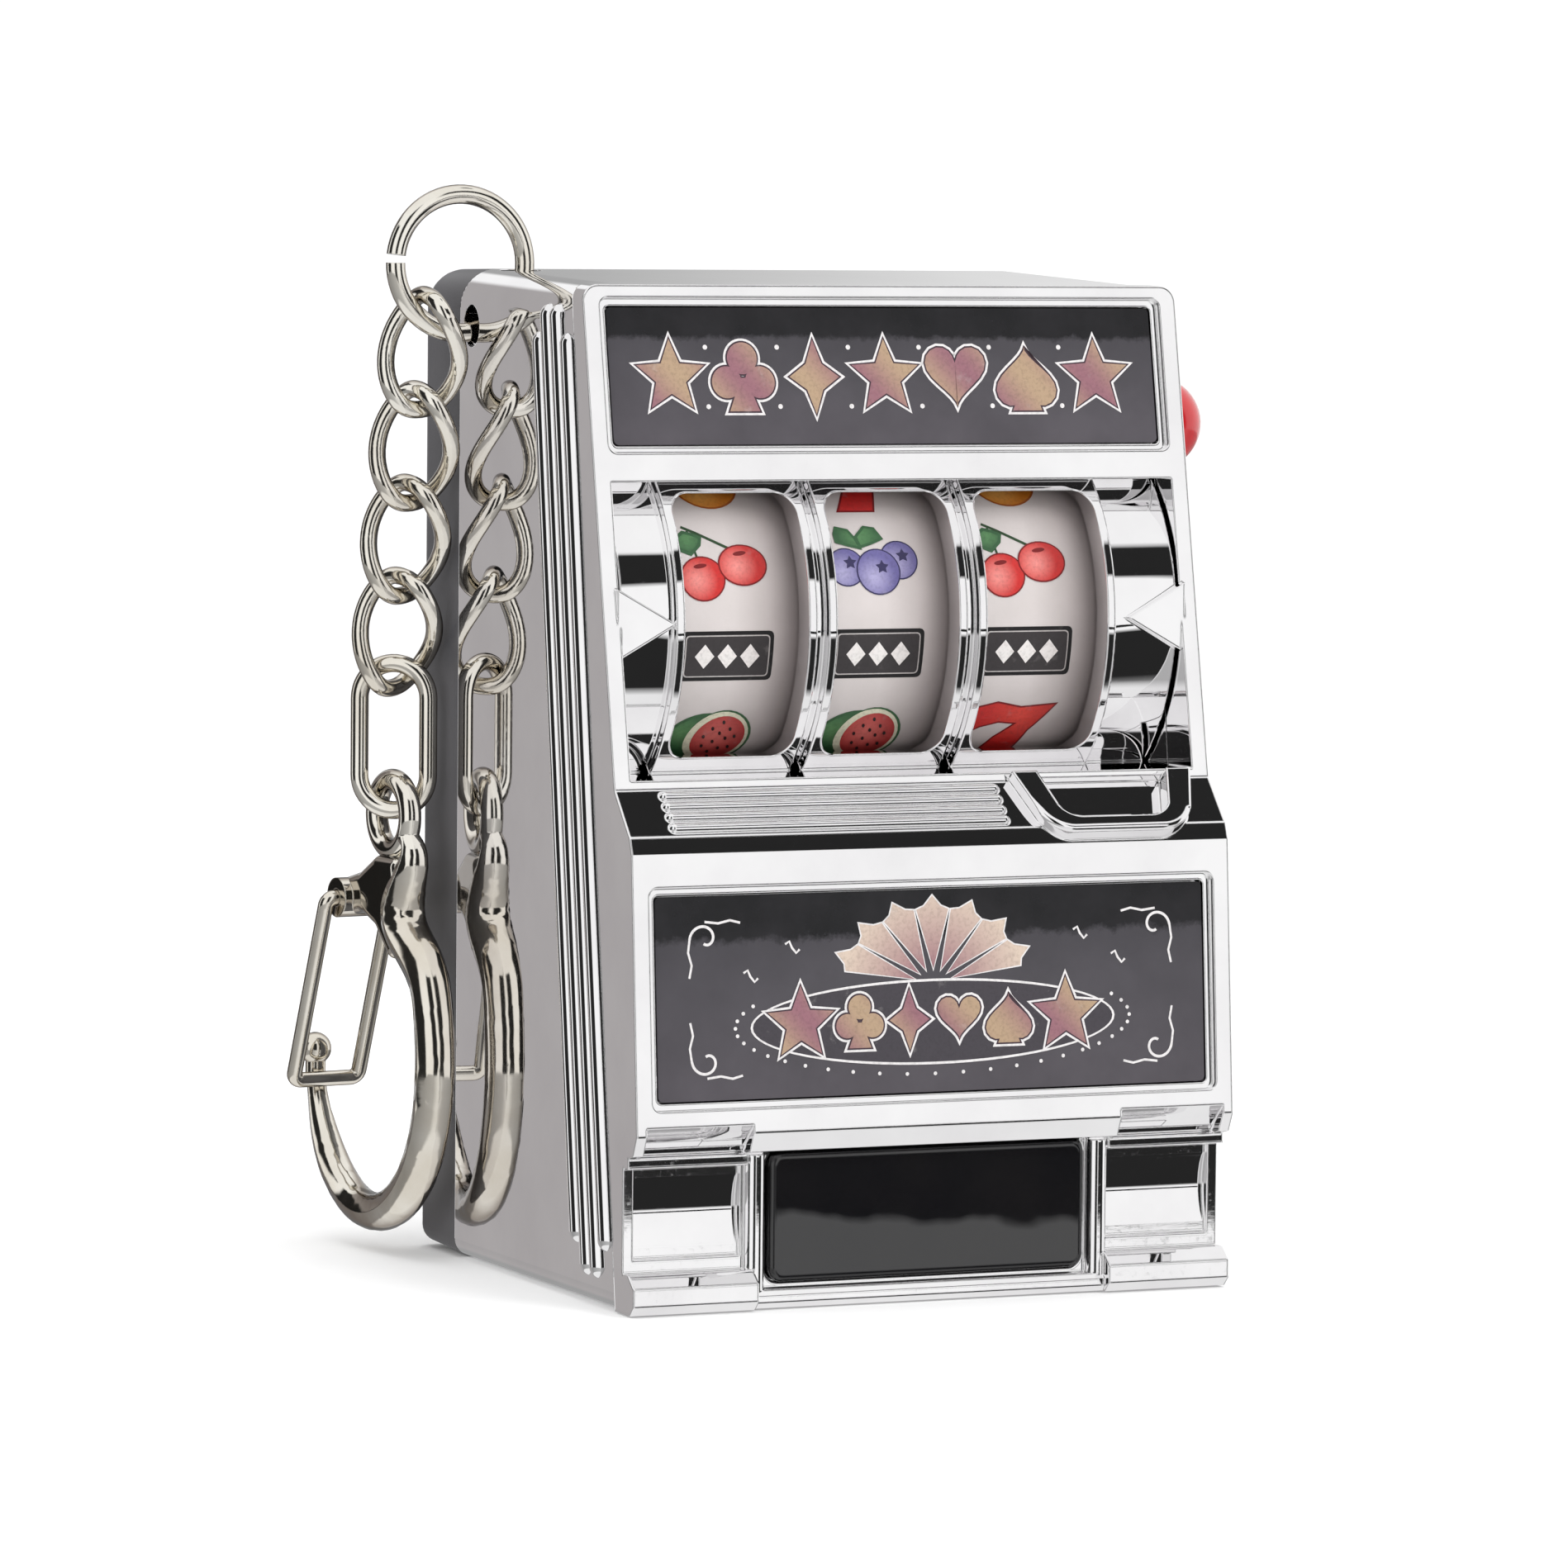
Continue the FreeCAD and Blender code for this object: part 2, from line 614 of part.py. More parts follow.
cross_bar = box_loop(plate_left, 27.8, plate_right + plate_thickness, 41.5)
extrude(cradle, "y", [cross_bar], bar_front, bar_back)
primitive(cradle, "Cylinder", (plate_left - 1, reel_y, reel_z), (1, 0, 0), cut=True,
          Radius=axle_radius + running_gap, Height=40)
primitive(cradle, "Cylinder", (plate_right - 1, lever_y, lever_z), (1, 0, 0), cut=True,
          Radius=shaft_radius + running_gap, Height=4)
for side in (-1, 1):
    extrude(cradle, "y", [(post_x * side, post_z, 0.75)], 10, 13, cut=True)
primitive(cradle, "Cylinder", (plate_right - 1.4, 7.6, 23.16), (1, 0, 0),
          Radius=0.5, Height=1.6)
for side, side_name in ((-1, "left"), (1, "right")):
    screw("cradle_screw_%s" % side_name, post_x * side, post_z, 10.4, 14.4, 0.6, 1.3)


# ---------------------------------------------------------------- reels, strips and axle

def make_reel(label, centre):
    """A drum with a star wheel on its left end, turned about the reel axis."""
    body = new_body(label)
    star_left = -drum_half - star_width
    hub_right = reel_pitch - drum_half - star_width - 0.1
    bore = axle_radius + running_gap
    hub = 2.4
    web_right = 0.8 - drum_half
    rim_inner = reel_radius - 0.8
    profile = [(star_left, bore), (hub_right, bore), (hub_right, hub), (web_right, hub),
               (web_right, rim_inner), (drum_half, rim_inner), (drum_half, reel_radius),
               (-drum_half, reel_radius), (-drum_half, star_radius), (star_left, star_radius)]
    revolve(body, "XY_Plane", [profile], (0, 0, 0), "H")
    notch_from = (star_left - 0.5, star_radius + 0.4, 0)
    notch = primitive(body, "Cylinder", notch_from, (1, 0, 0), cut=True,
                      Radius=0.95, Height=star_width + 0.49)
    polar(body, notch, "X_Axis", SYMBOLS_PER_REEL)
    place(body, (centre, reel_y, reel_z))
    return body


def make_strip(label, centre):
    """The printed band glued round a drum."""
    body = new_body(label)
    band = box_loop(-strip_half, reel_radius, strip_half, reel_radius + strip_thickness)
    revolve(body, "XY_Plane", [band], (0, 0, 0), "H")
    place(body, (centre, reel_y, reel_z))
    return body


REELS = ((-1, "left"), (0, "centre"), (1, "right"))
for step, name in REELS:
    make_reel("reel_" + name, reel_pitch * step)
for step, name in REELS:
    make_strip("strip_" + name, reel_pitch * step)

axle = new_body("reel_axle")
axle_end = dim("axle_right_end", 16.3)
axle_profile = [(-15.75, 0), (axle_end, 0), (axle_end, axle_radius), (-15.1, axle_radius),
                (-15.1, 1.7), (-15.75, 1.7)]
revolve(axle, "XY_Plane", [axle_profile], (0, 0, 0), "H")
place(axle, (0, reel_y, reel_z))

spacer = new_body("axle_spacer")
washer = box_loop(-14.15, axle_radius + running_gap, -13.8, 2.2)
revolve(spacer, "XY_Plane", [washer], (0, 0, 0), "H")
place(spacer, (0, reel_y, reel_z))


# ---------------------------------------------------------------- gears

module = dim("gear_module", 0.6)
gear_left = dim("gear_left_face", 14.7)
gear_width = dim("gear_face_width", 1.5)
pinion_teeth = 12
sector_teeth = 32
BACKLASH = 0.05


def involute_tooth(teeth, steps=5):
    """Outline of one tooth pointing along +V, from below its root circle."""
    pressure = math.radians(20)
    pitch = num(module) * teeth / 2
    base = pitch * math.cos(pressure)
    tip = pitch + num(module)
    root = pitch - 1.25 * num(module)
    half_angle = math.pi / (2 * teeth) - BACKLASH / (2 * pitch) + math.tan(pressure) - pressure
    flank = []
    low = max(base, root)
    for step in range(steps + 1):
        radius = low + (tip - low) * step / steps
        unwind = math.acos(min(base / radius, 1))
        angle = half_angle - (math.tan(unwind) - unwind)
        flank.append((radius * math.sin(angle), radius * math.cos(angle)))
    start_angle = half_angle if low == base else math.atan2(flank[0][0], flank[0][1])
    foot = ((root - 0.25) * math.sin(start_angle), (root - 0.25) * math.cos(start_angle))
    right = [foot] + flank
    left = [(-u, v) for u, v in reversed(right)]
    return right + left


def spoke_tooth(body, teeth, turn):
    """Pad one tooth about the X axis, turned by an angle towards the back (in degrees)."""
    swing = math.radians(turn)
    corners = []
    for u, v in involute_tooth(teeth):
        corners.append((v * math.sin(swing) + u * math.cos(swing),
                        v * math.cos(swing) - u * math.sin(swing)))
    return extrude(body, "x", [corners], gear_left, gear_left + gear_width)


CENTRE_LINE = math.degrees(math.atan2(num(reel_y) - num(lever_y), num(reel_z) - num(lever_z)))

pinion = new_body("drive_pinion")
pinion_root = module * (pinion_teeth / 2.0 - 1.25)
pinion_rim = box_loop(gear_left - 0.15, axle_radius, gear_left + gear_width, pinion_root)
revolve(pinion, "XY_Plane", [pinion_rim], (0, 0, 0), "H")
gap_towards_sector = CENTRE_LINE + 180 + 180.0 / pinion_teeth
first = spoke_tooth(pinion, pinion_teeth, gap_towards_sector)
polar(pinion, first, "X_Axis", pinion_teeth)
place(pinion, (0, reel_y, reel_z))

sector = new_body("drive_sector")
sector_root = num(module) * (sector_teeth / 2.0 - 1.25)
tooth_step = 360.0 / sector_teeth
FIRST_TOOTH = -1
LAST_TOOTH = 6
front_edge = math.radians(CENTRE_LINE + (FIRST_TOOTH - 0.6) * tooth_step)
back_edge = math.radians(CENTRE_LINE + (LAST_TOOTH + 0.6) * tooth_step)
web = [(sector_root * math.sin(front_edge), sector_root * math.cos(front_edge), -sector_root),
       (sector_root * math.sin(back_edge), sector_root * math.cos(back_edge)),
       (3.0, -1.0), (-2.6, -1.6)]
extrude(sector, "x", [web], gear_left, gear_left + gear_width)
primitive(sector, "Cylinder", (gear_left - 0.15, 0, 0), (1, 0, 0), Radius=3.2, Height=gear_width + 0.15)
for index in range(FIRST_TOOTH, LAST_TOOTH + 1):
    spoke_tooth(sector, sector_teeth, CENTRE_LINE + index * tooth_step)
primitive(sector, "Cylinder", (gear_left - 1, 0, 0), (1, 0, 0), cut=True, Radius=shaft_radius, Height=4)
primitive(sector, "Cylinder", (gear_left - 1, 2.3, 5.8), (1, 0, 0), cut=True, Radius=1.1, Height=4)
place(sector, (0, lever_y, lever_z))


# ---------------------------------------------------------------- lever

lever_shaft = new_body("lever_shaft")
revolve(lever_shaft, "XY_Plane", [box_loop(10.0, 0, 20.6, shaft_radius)], (0, 0, 0), "H")
place(lever_shaft, (0, lever_y, lever_z))

collar = new_body("shaft_collar")
revolve(collar, "XY_Plane", [box_loop(10.2, shaft_radius, 11.1, 2.6)], (0, 0, 0), "H")
extrude(collar, "x", [box_loop(-0.3, 1.9, 0.3, 3)], 10.7, 11.5, cut=True)
place(collar, (0, lever_y, lever_z))

arm = new_body("lever_arm")
revolve(arm, "XY_Plane", [box_loop(18.6, shaft_radius, 20.4, 3.0)], (0, 0, 0), "H")
fillet(arm, 0.4, lambda edge: edge.BoundBox.XMin > 20.3 and edge.BoundBox.ZMax > 2.9)
reach = Vector(num(ball_x) - 19.5, num(ball_y) - num(lever_y), num(ball_z) - num(lever_z))
upward = reach / reach.Length
start = Vector(19.5, 0, 0) + upward * 2.4
primitive(arm, "Cylinder", tuple(start), tuple(upward), Radius=0.9, Height=reach.Length - 2.8)
place(arm, (0, lever_y, lever_z))

knob = new_body("lever_knob")
primitive(knob, "Sphere", (0, 0, 0), (0, 0, 1), Radius=ball_radius)
primitive(knob, "Cylinder", tuple(upward * -0.3), tuple(-upward), cut=True, Radius=0.92, Height=6)
place(knob, (ball_x, ball_y, ball_z))


# ---------------------------------------------------------------- detent leaves

def make_leaf(label, centre):
    """A spring leaf screwed flat on the cradle bar, its nose resting in a star notch."""
    body = new_body(label)
    finger_x = centre - drum_half - star_width / 2
    foot = box_loop(finger_x - 0.6, 28.4, finger_x + 1.8, 31.4)
    extrude(body, "y", [foot], bar_front - 0.2, bar_front)
    nose_y = reel_y + star_radius + 0.1
    finger = [(bar_front - 0.2, 31.0), (nose_y - 0.1, 36.8), (nose_y + 0.15, 37.1), (bar_front, 31.3)]
    extrude(body, "x", [finger], finger_x - 0.25, finger_x + 0.25)
    primitive(body, "Cylinder", (finger_x - 0.25, nose_y - 0.15, reel_z), (1, 0, 0),
              Radius=0.45, Height=0.5)
    return body


for step, name in REELS:
    make_leaf("detent_leaf_" + name, reel_pitch * step)


# ---------------------------------------------------------------- bent wire pieces

def sweep(path, radius):
    """Round wire of one radius along a path wire."""
    first = path.Edges[0]
    start = first.valueAt(first.FirstParameter)
    heading = first.tangentAt(first.FirstParameter)
    pipe = Part.BRepOffsetAPI.MakePipeShell(path)
    pipe.add(Part.Wire([Part.makeCircle(radius, start, heading)]))
    pipe.build()
    pipe.makeSolid()
    return pipe.shape()


def wire_ring(centre, heading, towards, radius):
    """Circle across a path, its seam turned to a given side."""
    ring = Part.makeCircle(radius)
    ring.Placement = Placement(centre, Rotation(towards, Vector(), heading, "ZXY"))
    return Part.Wire([ring])


def closed_wire(points, radius):
    """Round wire along a smooth closed path, swept as two joined halves."""
    curve = Part.BSplineCurve()
    curve.interpolate(points, PeriodicFlag=True)
    middle = (curve.FirstParameter + curve.LastParameter) / 2
    halves = [sweep(Part.Wire([curve.toShape(curve.FirstParameter, middle)]), radius),
              sweep(Part.Wire([curve.toShape(middle, curve.LastParameter)]), radius)]
    return halves[0].fuse(halves[1])


def new_feature(label, shape, placement=None):
    """Hold a swept wire piece that no sketch feature describes."""
    feature = doc.addObject("Part::Feature", label)
    feature.Label = label
    feature.Shape = shape
    feature.Placement = placement or Placement()
    nodes.append(feature)
    return feature


# Torsion spring round the lever shaft, one leg in the collar and one on the cradle peg.
spring_radius = 2.15
spring_wire = 0.2
spring_start = 11.45
spring_pitch = 0.44
coils = Part.makeHelix(spring_pitch, spring_pitch * 4.5, spring_radius)
along_shaft = Rotation(Vector(1, 0, 0), 180) * Rotation(Vector(0, 1, 0), 90)
coils.Placement = Placement(Vector(spring_start, 0, 0), along_shaft)
coil_edge = coils.Edges[0]
coil_from = coil_edge.valueAt(coil_edge.FirstParameter)
coil_to = coils.Edges[-1].valueAt(coils.Edges[-1].LastParameter)
coil_heading = coil_edge.tangentAt(coil_edge.FirstParameter)
coil_pipe = Part.BRepOffsetAPI.MakePipeShell(Part.Wire(coils.Edges))
coil_pipe.setFrenetMode(True)
coil_pipe.add(Part.Wire([Part.makeCircle(spring_wire, coil_from, coil_heading)]))
coil_pipe.build()
coil_pipe.makeSolid()
collar_leg = Part.makeCylinder(spring_wire, 0.75, coil_from, Vector(-1, 0, 0))
peg_leg = Part.makeCylinder(spring_wire, 4.6, coil_to, Vector(0, 1, 0))
spring_shape = coil_pipe.shape().fuse([collar_leg, peg_leg, Part.makeSphere(spring_wire, coil_from),
                                       Part.makeSphere(spring_wire, coil_to)])
new_feature("return_spring", spring_shape, Placement(Vector(0, num(lever_y), num(lever_z)), Rotation()))


# ---------------------------------------------------------------- split ring

ring_x = dim("ring_across", -18.7)
ring_z = dim("ring_height", 56.5)
ring_radius = dim("ring_radius", 3.9)
ring_wire = dim("ring_wire_radius", 0.55)
key_ring = new_body("key_ring")
revolve(key_ring, "XY_Plane", [(ring_radius, 0, ring_wire)], (0, 0, 0), "V", angle=353.5)
place(key_ring, (ring_x, ring_y, ring_z), Rotation(Vector(0, 1, 0), -173))


# ---------------------------------------------------------------- curb chain

chain_lean = math.radians(13.5)
chain_up = Vector(0, -math.sin(chain_lean), math.cos(chain_lean))
chain_face = math.radians(-35)
link_wire = dim("link_wire_radius", 0.5)
link_half_width = dim("link_half_width", 2.1)
link_half_length = dim("link_half_length", 3.3)
link_pitch = dim("link_pitch", 5.47)


def facing_frame(up, turn):
    """Rotation whose Z axis is up and whose X axis points at an angle turn from +X."""
    across = Vector(math.cos(turn), math.sin(turn), 0)
    across = (across - up * across.dot(up)).normalize()
    return Rotation(across, Vector(), up, "ZXY")


# One link: an oval with blunt ends, twisted a quarter turn from end to end.
BLUNTNESS = 0.8
LINK_POINTS = 24
twisted = []
for index in range(LINK_POINTS):
    angle = 2 * math.pi * index / LINK_POINTS
    twist = -math.pi / 4 * math.sin(angle)
    swing = math.cos(angle)
    wide = num(link_half_width) * math.copysign(abs(swing) ** BLUNTNESS, swing)
    rise = num(link_half_length) * math.sin(angle)
    twisted.append(Vector(wide * math.cos(twist), wide * math.sin(twist), rise))
link_shape = closed_wire(twisted, num(link_wire))
contact_angle = math.radians(-120)
hook_point = Vector(num(ring_x) + num(ring_radius) * math.cos(contact_angle), num(ring_y),
                    num(ring_z) + num(ring_radius) * math.sin(contact_angle))
first_link = hook_point + Vector(-0.1, 0, 0) + chain_up * (1.6 - num(link_half_length))
for index in range(4):
    centre = first_link - chain_up * (num(link_pitch) * index)
    turn = chain_face + math.radians(6) * index
    hang = Placement(centre, facing_frame(chain_up, turn))
    new_feature("chain_link_%d" % (index + 1), link_shape, hang)


# ---------------------------------------------------------------- connector

connector_wire = dim("connector_wire_radius", 0.52)
connector_half = dim("connector_half_width", 2.0)
connector_run = dim("connector_straight_half", 2.2)
half = num(connector_half)
run = num(connector_run)
connector_reach = run + half
oval = Part.Wire([
    Part.makeLine(Vector(half, 0, -run), Vector(half, 0, run)),
    Part.Arc(Vector(half, 0, run), Vector(0, 0, connector_reach), Vector(-half, 0, run)).toShape(),
    Part.makeLine(Vector(-half, 0, run), Vector(-half, 0, -run)),
    Part.Arc(Vector(-half, 0, -run), Vector(0, 0, -connector_reach), Vector(half, 0, -run)).toShape()])
link_end = first_link - chain_up * (num(link_pitch) * 3 + num(link_half_length))
connector_top = link_end + chain_up * (num(link_wire) + num(connector_wire) + 0.45)
connector_centre = connector_top - Vector(0, 0, connector_reach)
new_feature("connector_link", sweep(oval, num(connector_wire)),
            Placement(connector_centre, facing_frame(Vector(0, 0, 1), math.radians(-34))))


# ---------------------------------------------------------------- trigger clasp

clasp_turn = math.radians(90 + 7)
eye_radius = 2.0
eye_wire = 0.65
eye_drop = connector_reach - num(connector_wire) - eye_wire - 0.55 + eye_radius
eye_centre = connector_centre - Vector(0, 0, eye_drop)
clasp_frame = Placement(eye_centre, facing_frame(Vector(0, 0, 1), clasp_turn))


def clasp_point(across, up, out=0.0):
    """Point in the clasp's own plane: across towards the gate, up, and out of the plane."""
    return Vector(across, out, up)


# Hook: an oval of tapering round wire from the eye to the nose, as (angle round the oval,
# wire radius) after two points beside the eye.
HOOK_MIDDLE = (2.2, -13.9)
HOOK_HALF_WIDTH = 7.4
HOOK_HALF_HEIGHT = 9.1
HOOK_TAPER = ((118, 1.3), (140, 1.25), (170, 1.15), (200, 1.15), (235, 1.15), (270, 1.1),
              (300, 1.0), (322, 0.85), (338, 0.62))
hook_points = [clasp_point(-1.75, -1.15), clasp_point(-2.1, -3.2)]
hook_sizes = [0.65, 1.0]
for angle, radius in HOOK_TAPER:
    swing = math.radians(angle)
    hook_points.append(clasp_point(HOOK_MIDDLE[0] + HOOK_HALF_WIDTH * math.cos(swing),
                                   HOOK_MIDDLE[1] + HOOK_HALF_HEIGHT * math.sin(swing)))
    hook_sizes.append(radius)
hook_points.append(clasp_point(9.45, -15.6))
hook_sizes.append(0.6)
spine = Part.BSplineCurve()
spine.interpolate(hook_points)
rings = []
for point, radius in zip(hook_points, hook_sizes):
    heading = spine.tangent(spine.parameter(point))[0]
    rings.append(wire_ring(point, heading, Vector(0, 1, 0), radius))
hook = Part.makeLoft(rings, True, False)
pivot = clasp_point(4.1, -5.0)
shoulder_outline = ((-2.0, -2.3), (0.6, -2.3), (2.6, -3.4), (4.6, -3.9), (5.1, -5.2), (4.2, -6.1),
                    (2.4, -5.7), (0.6, -6.4), (-1.2, -8.2), (-2.6, -7.6), (-2.0, -2.3))
shoulder_edge = [clasp_point(across, up, 1.0) for across, up in shoulder_outline]
shoulder = Part.Face(Part.makePolygon(shoulder_edge)).extrude(Vector(0, -2.0, 0))
shoulder = shoulder.makeFillet(0.55, shoulder.Edges)
eye = Part.makeTorus(eye_radius, eye_wire, Vector(), Vector(0, 1, 0))
barrel = Part.makeCylinder(1.15, 3.0, pivot + Vector(0, -1.5, 0), Vector(0, 1, 0))
neck = Part.makeCylinder(0.6, 1.2, clasp_point(9.45, -15.9), Vector(0, 0, 1))
ball = Part.makeSphere(0.95, clasp_point(9.5, -14.3))
clasp_shape = hook.fuse([shoulder, eye, barrel, neck, ball])
gate_wire = 0.45
gate_bore = Part.makeCylinder(gate_wire + num(running_gap), 6, pivot + Vector(0, -3, 0), Vector(0, 1, 0))
clasp_shape = clasp_shape.cut(gate_bore)
new_feature("clasp_body", clasp_shape.removeSplitter(), clasp_frame)

# Gate: a closed wire loop hinged in the shoulder, its bar resting inside the nose.
gate_bar = clasp_point(8.2, -15.95)
down = gate_bar - pivot
gate_length = down.Length
down.normalize()
out = Vector(0, 1, 0)
HALF_SPAN = 2.1
BEND = 0.5


def gate_point(side, length):
    """Point on the gate loop: side along the hinge, length down the gate."""
    return pivot + out * side + down * length


def gate_corner(side, length, side_sign, length_sign):
    """Quarter bend of the loop between two straight runs."""
    bend_in = BEND * (1 - math.sqrt(0.5))
    return (gate_point(side, length - BEND * length_sign),
            gate_point(side - bend_in * side_sign, length - bend_in * length_sign),
            gate_point(side - BEND * side_sign, length))


corners = [gate_corner(HALF_SPAN, gate_length, 1, 1), gate_corner(-HALF_SPAN, gate_length, -1, 1)[::-1],
           gate_corner(-HALF_SPAN, 0, -1, -1), gate_corner(HALF_SPAN, 0, 1, -1)[::-1]]
edges = []
for index, corner in enumerate(corners):
    edges.append(Part.Arc(*corner).toShape())
    edges.append(Part.makeLine(corner[2], corners[(index + 1) % 4][0]))
gate_path = Part.Wire(edges)
new_feature("clasp_gate", sweep(gate_path, gate_wire), clasp_frame)

# ---------------------------------------------------------------- check and export
for node in nodes:
    if node.isDerivedFrom("PartDesign::Body"):
        node.Tip.Refine = True
doc.recompute()
os.makedirs("parts", exist_ok=True)
for item in doc.Objects:
    if "Invalid" in item.State or "Error" in item.State:
        raise RuntimeError("%s did not compute" % item.Label)
for node in nodes:
    shape = node.Shape
    if shape.isNull() or not shape.isValid():
        raise RuntimeError("%s has no valid shape" % node.Label)
    shape.exportStep("parts/%s.step" % node.Label)
    print(node.Label, len(shape.Solids), round(shape.Volume, 2), shape.BoundBox)
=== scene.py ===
"""Looks for the key-ring slot machine: plating, plastics, printed art, studio and camera.

Lengths are in metres, with x to the right, y to the back and z up. Printed art is drawn in
millimetres on the surface that carries it, with u to the right and v upward.
"""

import json
import math

import bmesh
import bpy
from mathutils import Matrix, Vector


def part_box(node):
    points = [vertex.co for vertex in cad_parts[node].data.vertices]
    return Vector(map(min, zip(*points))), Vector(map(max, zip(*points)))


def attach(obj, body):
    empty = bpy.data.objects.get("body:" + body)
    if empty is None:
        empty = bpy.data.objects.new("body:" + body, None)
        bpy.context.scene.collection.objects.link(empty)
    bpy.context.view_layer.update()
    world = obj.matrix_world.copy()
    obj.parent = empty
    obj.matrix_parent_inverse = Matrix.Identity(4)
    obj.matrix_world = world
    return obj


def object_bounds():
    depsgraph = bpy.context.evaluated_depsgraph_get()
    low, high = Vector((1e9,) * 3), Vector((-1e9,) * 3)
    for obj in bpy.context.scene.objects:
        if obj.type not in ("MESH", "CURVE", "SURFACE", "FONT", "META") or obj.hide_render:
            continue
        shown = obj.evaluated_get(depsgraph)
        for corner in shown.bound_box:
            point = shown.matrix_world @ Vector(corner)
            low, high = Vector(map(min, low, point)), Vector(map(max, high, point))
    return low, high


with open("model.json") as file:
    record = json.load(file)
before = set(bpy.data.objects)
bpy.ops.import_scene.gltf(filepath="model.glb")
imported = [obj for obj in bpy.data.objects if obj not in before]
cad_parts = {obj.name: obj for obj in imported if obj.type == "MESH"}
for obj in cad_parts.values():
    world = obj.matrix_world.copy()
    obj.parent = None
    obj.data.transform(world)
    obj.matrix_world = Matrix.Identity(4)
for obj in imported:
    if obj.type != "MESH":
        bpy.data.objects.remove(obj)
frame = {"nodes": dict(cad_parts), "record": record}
cad_low, cad_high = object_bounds()

MM = 0.001


def rgba(colour):
    return tuple(colour) + (1.0,)


def grey(level):
    return (level, level, level)


def between_colours(start, end, share):
    return tuple(a + (b - a) * share for a, b in zip(start, end))


# ---------------------------------------------------------------- node helpers

class Graph:
    """A node tree being built: add() makes a node, sets its inputs or links them."""

    def __init__(self, tree):
        self.tree = tree
        self.tree.nodes.clear()

    def add(self, kind, inputs=None, **settings):
        node = self.tree.nodes.new(kind)
        for key, value in settings.items():
            setattr(node, key, value)
        for key, value in (inputs or {}).items():
            if isinstance(value, bpy.types.NodeSocket):
                self.tree.links.new(value, node.inputs[key])
            else:
                node.inputs[key].default_value = value
        return node

    def math(self, operation, a, b=0.0):
        return self.add("ShaderNodeMath", {0: a, 1: b}, operation=operation).outputs[0]

    def noise(self, where, scale, detail=4.0, roughness=0.55):
        """A noise value; scale counts waves per metre, so 1000 has waves about 1 mm long."""
        inputs = {"Vector": where, "Scale": scale, "Detail": detail, "Roughness": roughness}
        return self.add("ShaderNodeTexNoise", inputs).outputs[0]

    def remap(self, value, low, high, to_low, to_high):
        inputs = {"Value": value, "From Min": low, "From Max": high, "To Min": to_low, "To Max": to_high}
        return self.add("ShaderNodeMapRange", inputs).outputs[0]

    def mix(self, factor, a, b, blend_type="MIX"):
        """Mixes two colours, each given as a socket or as three numbers."""
        a, b = (side if isinstance(side, bpy.types.NodeSocket) else rgba(side) for side in (a, b))
        node = self.add("ShaderNodeMix", {0: factor, 6: a, 7: b}, data_type="RGBA", blend_type=blend_type)
        return node.outputs[2]

    def ramp(self, value, stops):
        node = self.add("ShaderNodeValToRGB", {"Fac": value})
        elements = node.color_ramp.elements
        while len(elements) < len(stops):
            elements.new(0.5)
        for element, (position, colour) in zip(elements, stops):
            element.position = position
            element.color = rgba(colour)
        return node.outputs[0]

    def bump(self, height, strength, distance_mm, normal=None):
        inputs = {"Height": height, "Strength": strength, "Distance": distance_mm * MM}
        if normal is not None:
            inputs["Normal"] = normal
        return self.add("ShaderNodeBump", inputs).outputs[0]

    def rounded(self, radius_mm, rays):
        """A normal that softens edges to a small radius, found with the given number of rays."""
        return self.add("ShaderNodeBevel", {"Radius": radius_mm * MM}, samples=rays).outputs[0]

    def place(self):
        """Where a point lies on the object, which is its place in the shared frame at rest."""
        return self.add("ShaderNodeTexCoord").outputs["Object"]

    def axis(self, vector, letter):
        return self.add("ShaderNodeSeparateXYZ", {"Vector": vector}).outputs[letter]


def new_material(name):
    material = bpy.data.materials.new(name)
    material.use_nodes = True
    return material, Graph(material.node_tree)


def close(graph, inputs):
    shader = graph.add("ShaderNodeBsdfPrincipled", inputs)
    graph.add("ShaderNodeOutputMaterial", {"Surface": shader.outputs[0]})


# ---------------------------------------------------------------- materials

# Painted shade on wire: how its colour darkens as its surface turns away from the viewer, from face on (0) to
# edge on (1).
WIRE_PAINTED_RIM_SHADE = [(0.0, grey(1.0)), (0.42, grey(1.0)), (0.64, (0.34, 0.30, 0.27)), (0.85, (0.07, 0.06, 0.05))]
SCRATCH_STRETCH = (900.0, 900.0, 5200.0)


def plated_metal(name, colour, tarnish, roughness, edge_mm, scratch, rays=6, painted_rim_shade=False):
    """Bright plating: faint tarnish clouds, fine scratches and softened edges; if asked, also a painted shade
    that darkens edges turned away from the viewer.
    """
    material, graph = new_material(name)
    where = graph.place()
    clouds = graph.noise(where, 160.0, 5.0)
    stretched = graph.add("ShaderNodeMapping", {"Vector": where, "Scale": SCRATCH_STRETCH}).outputs[0]
    scratches = graph.noise(stretched, 1.0, 3.0)
    specks = graph.noise(where, 2600.0, 2.0)
    tint = graph.mix(graph.remap(clouds, 0.35, 0.75, 0.0, 1.0), colour, tarnish)
    if painted_rim_shade:
        # Painted shade: darker colour where the surface turns away from the viewer.
        turned_away = graph.add("ShaderNodeLayerWeight", {"Blend": 0.5}).outputs["Facing"]
        tint = graph.mix(1.0, tint, graph.ramp(turned_away, WIRE_PAINTED_RIM_SHADE), "MULTIPLY")
    smudge = graph.remap(clouds, 0.4, 0.7, roughness[0], roughness[1])
    rough = graph.math("ADD", smudge, graph.remap(specks, 0.55, 0.8, 0.0, 0.05))
    relief = graph.bump(scratches, scratch, 0.004, graph.rounded(edge_mm, rays))
    close(graph, {"Base Color": tint, "Metallic": 1.0, "Roughness": rough, "Normal": relief})
    return material


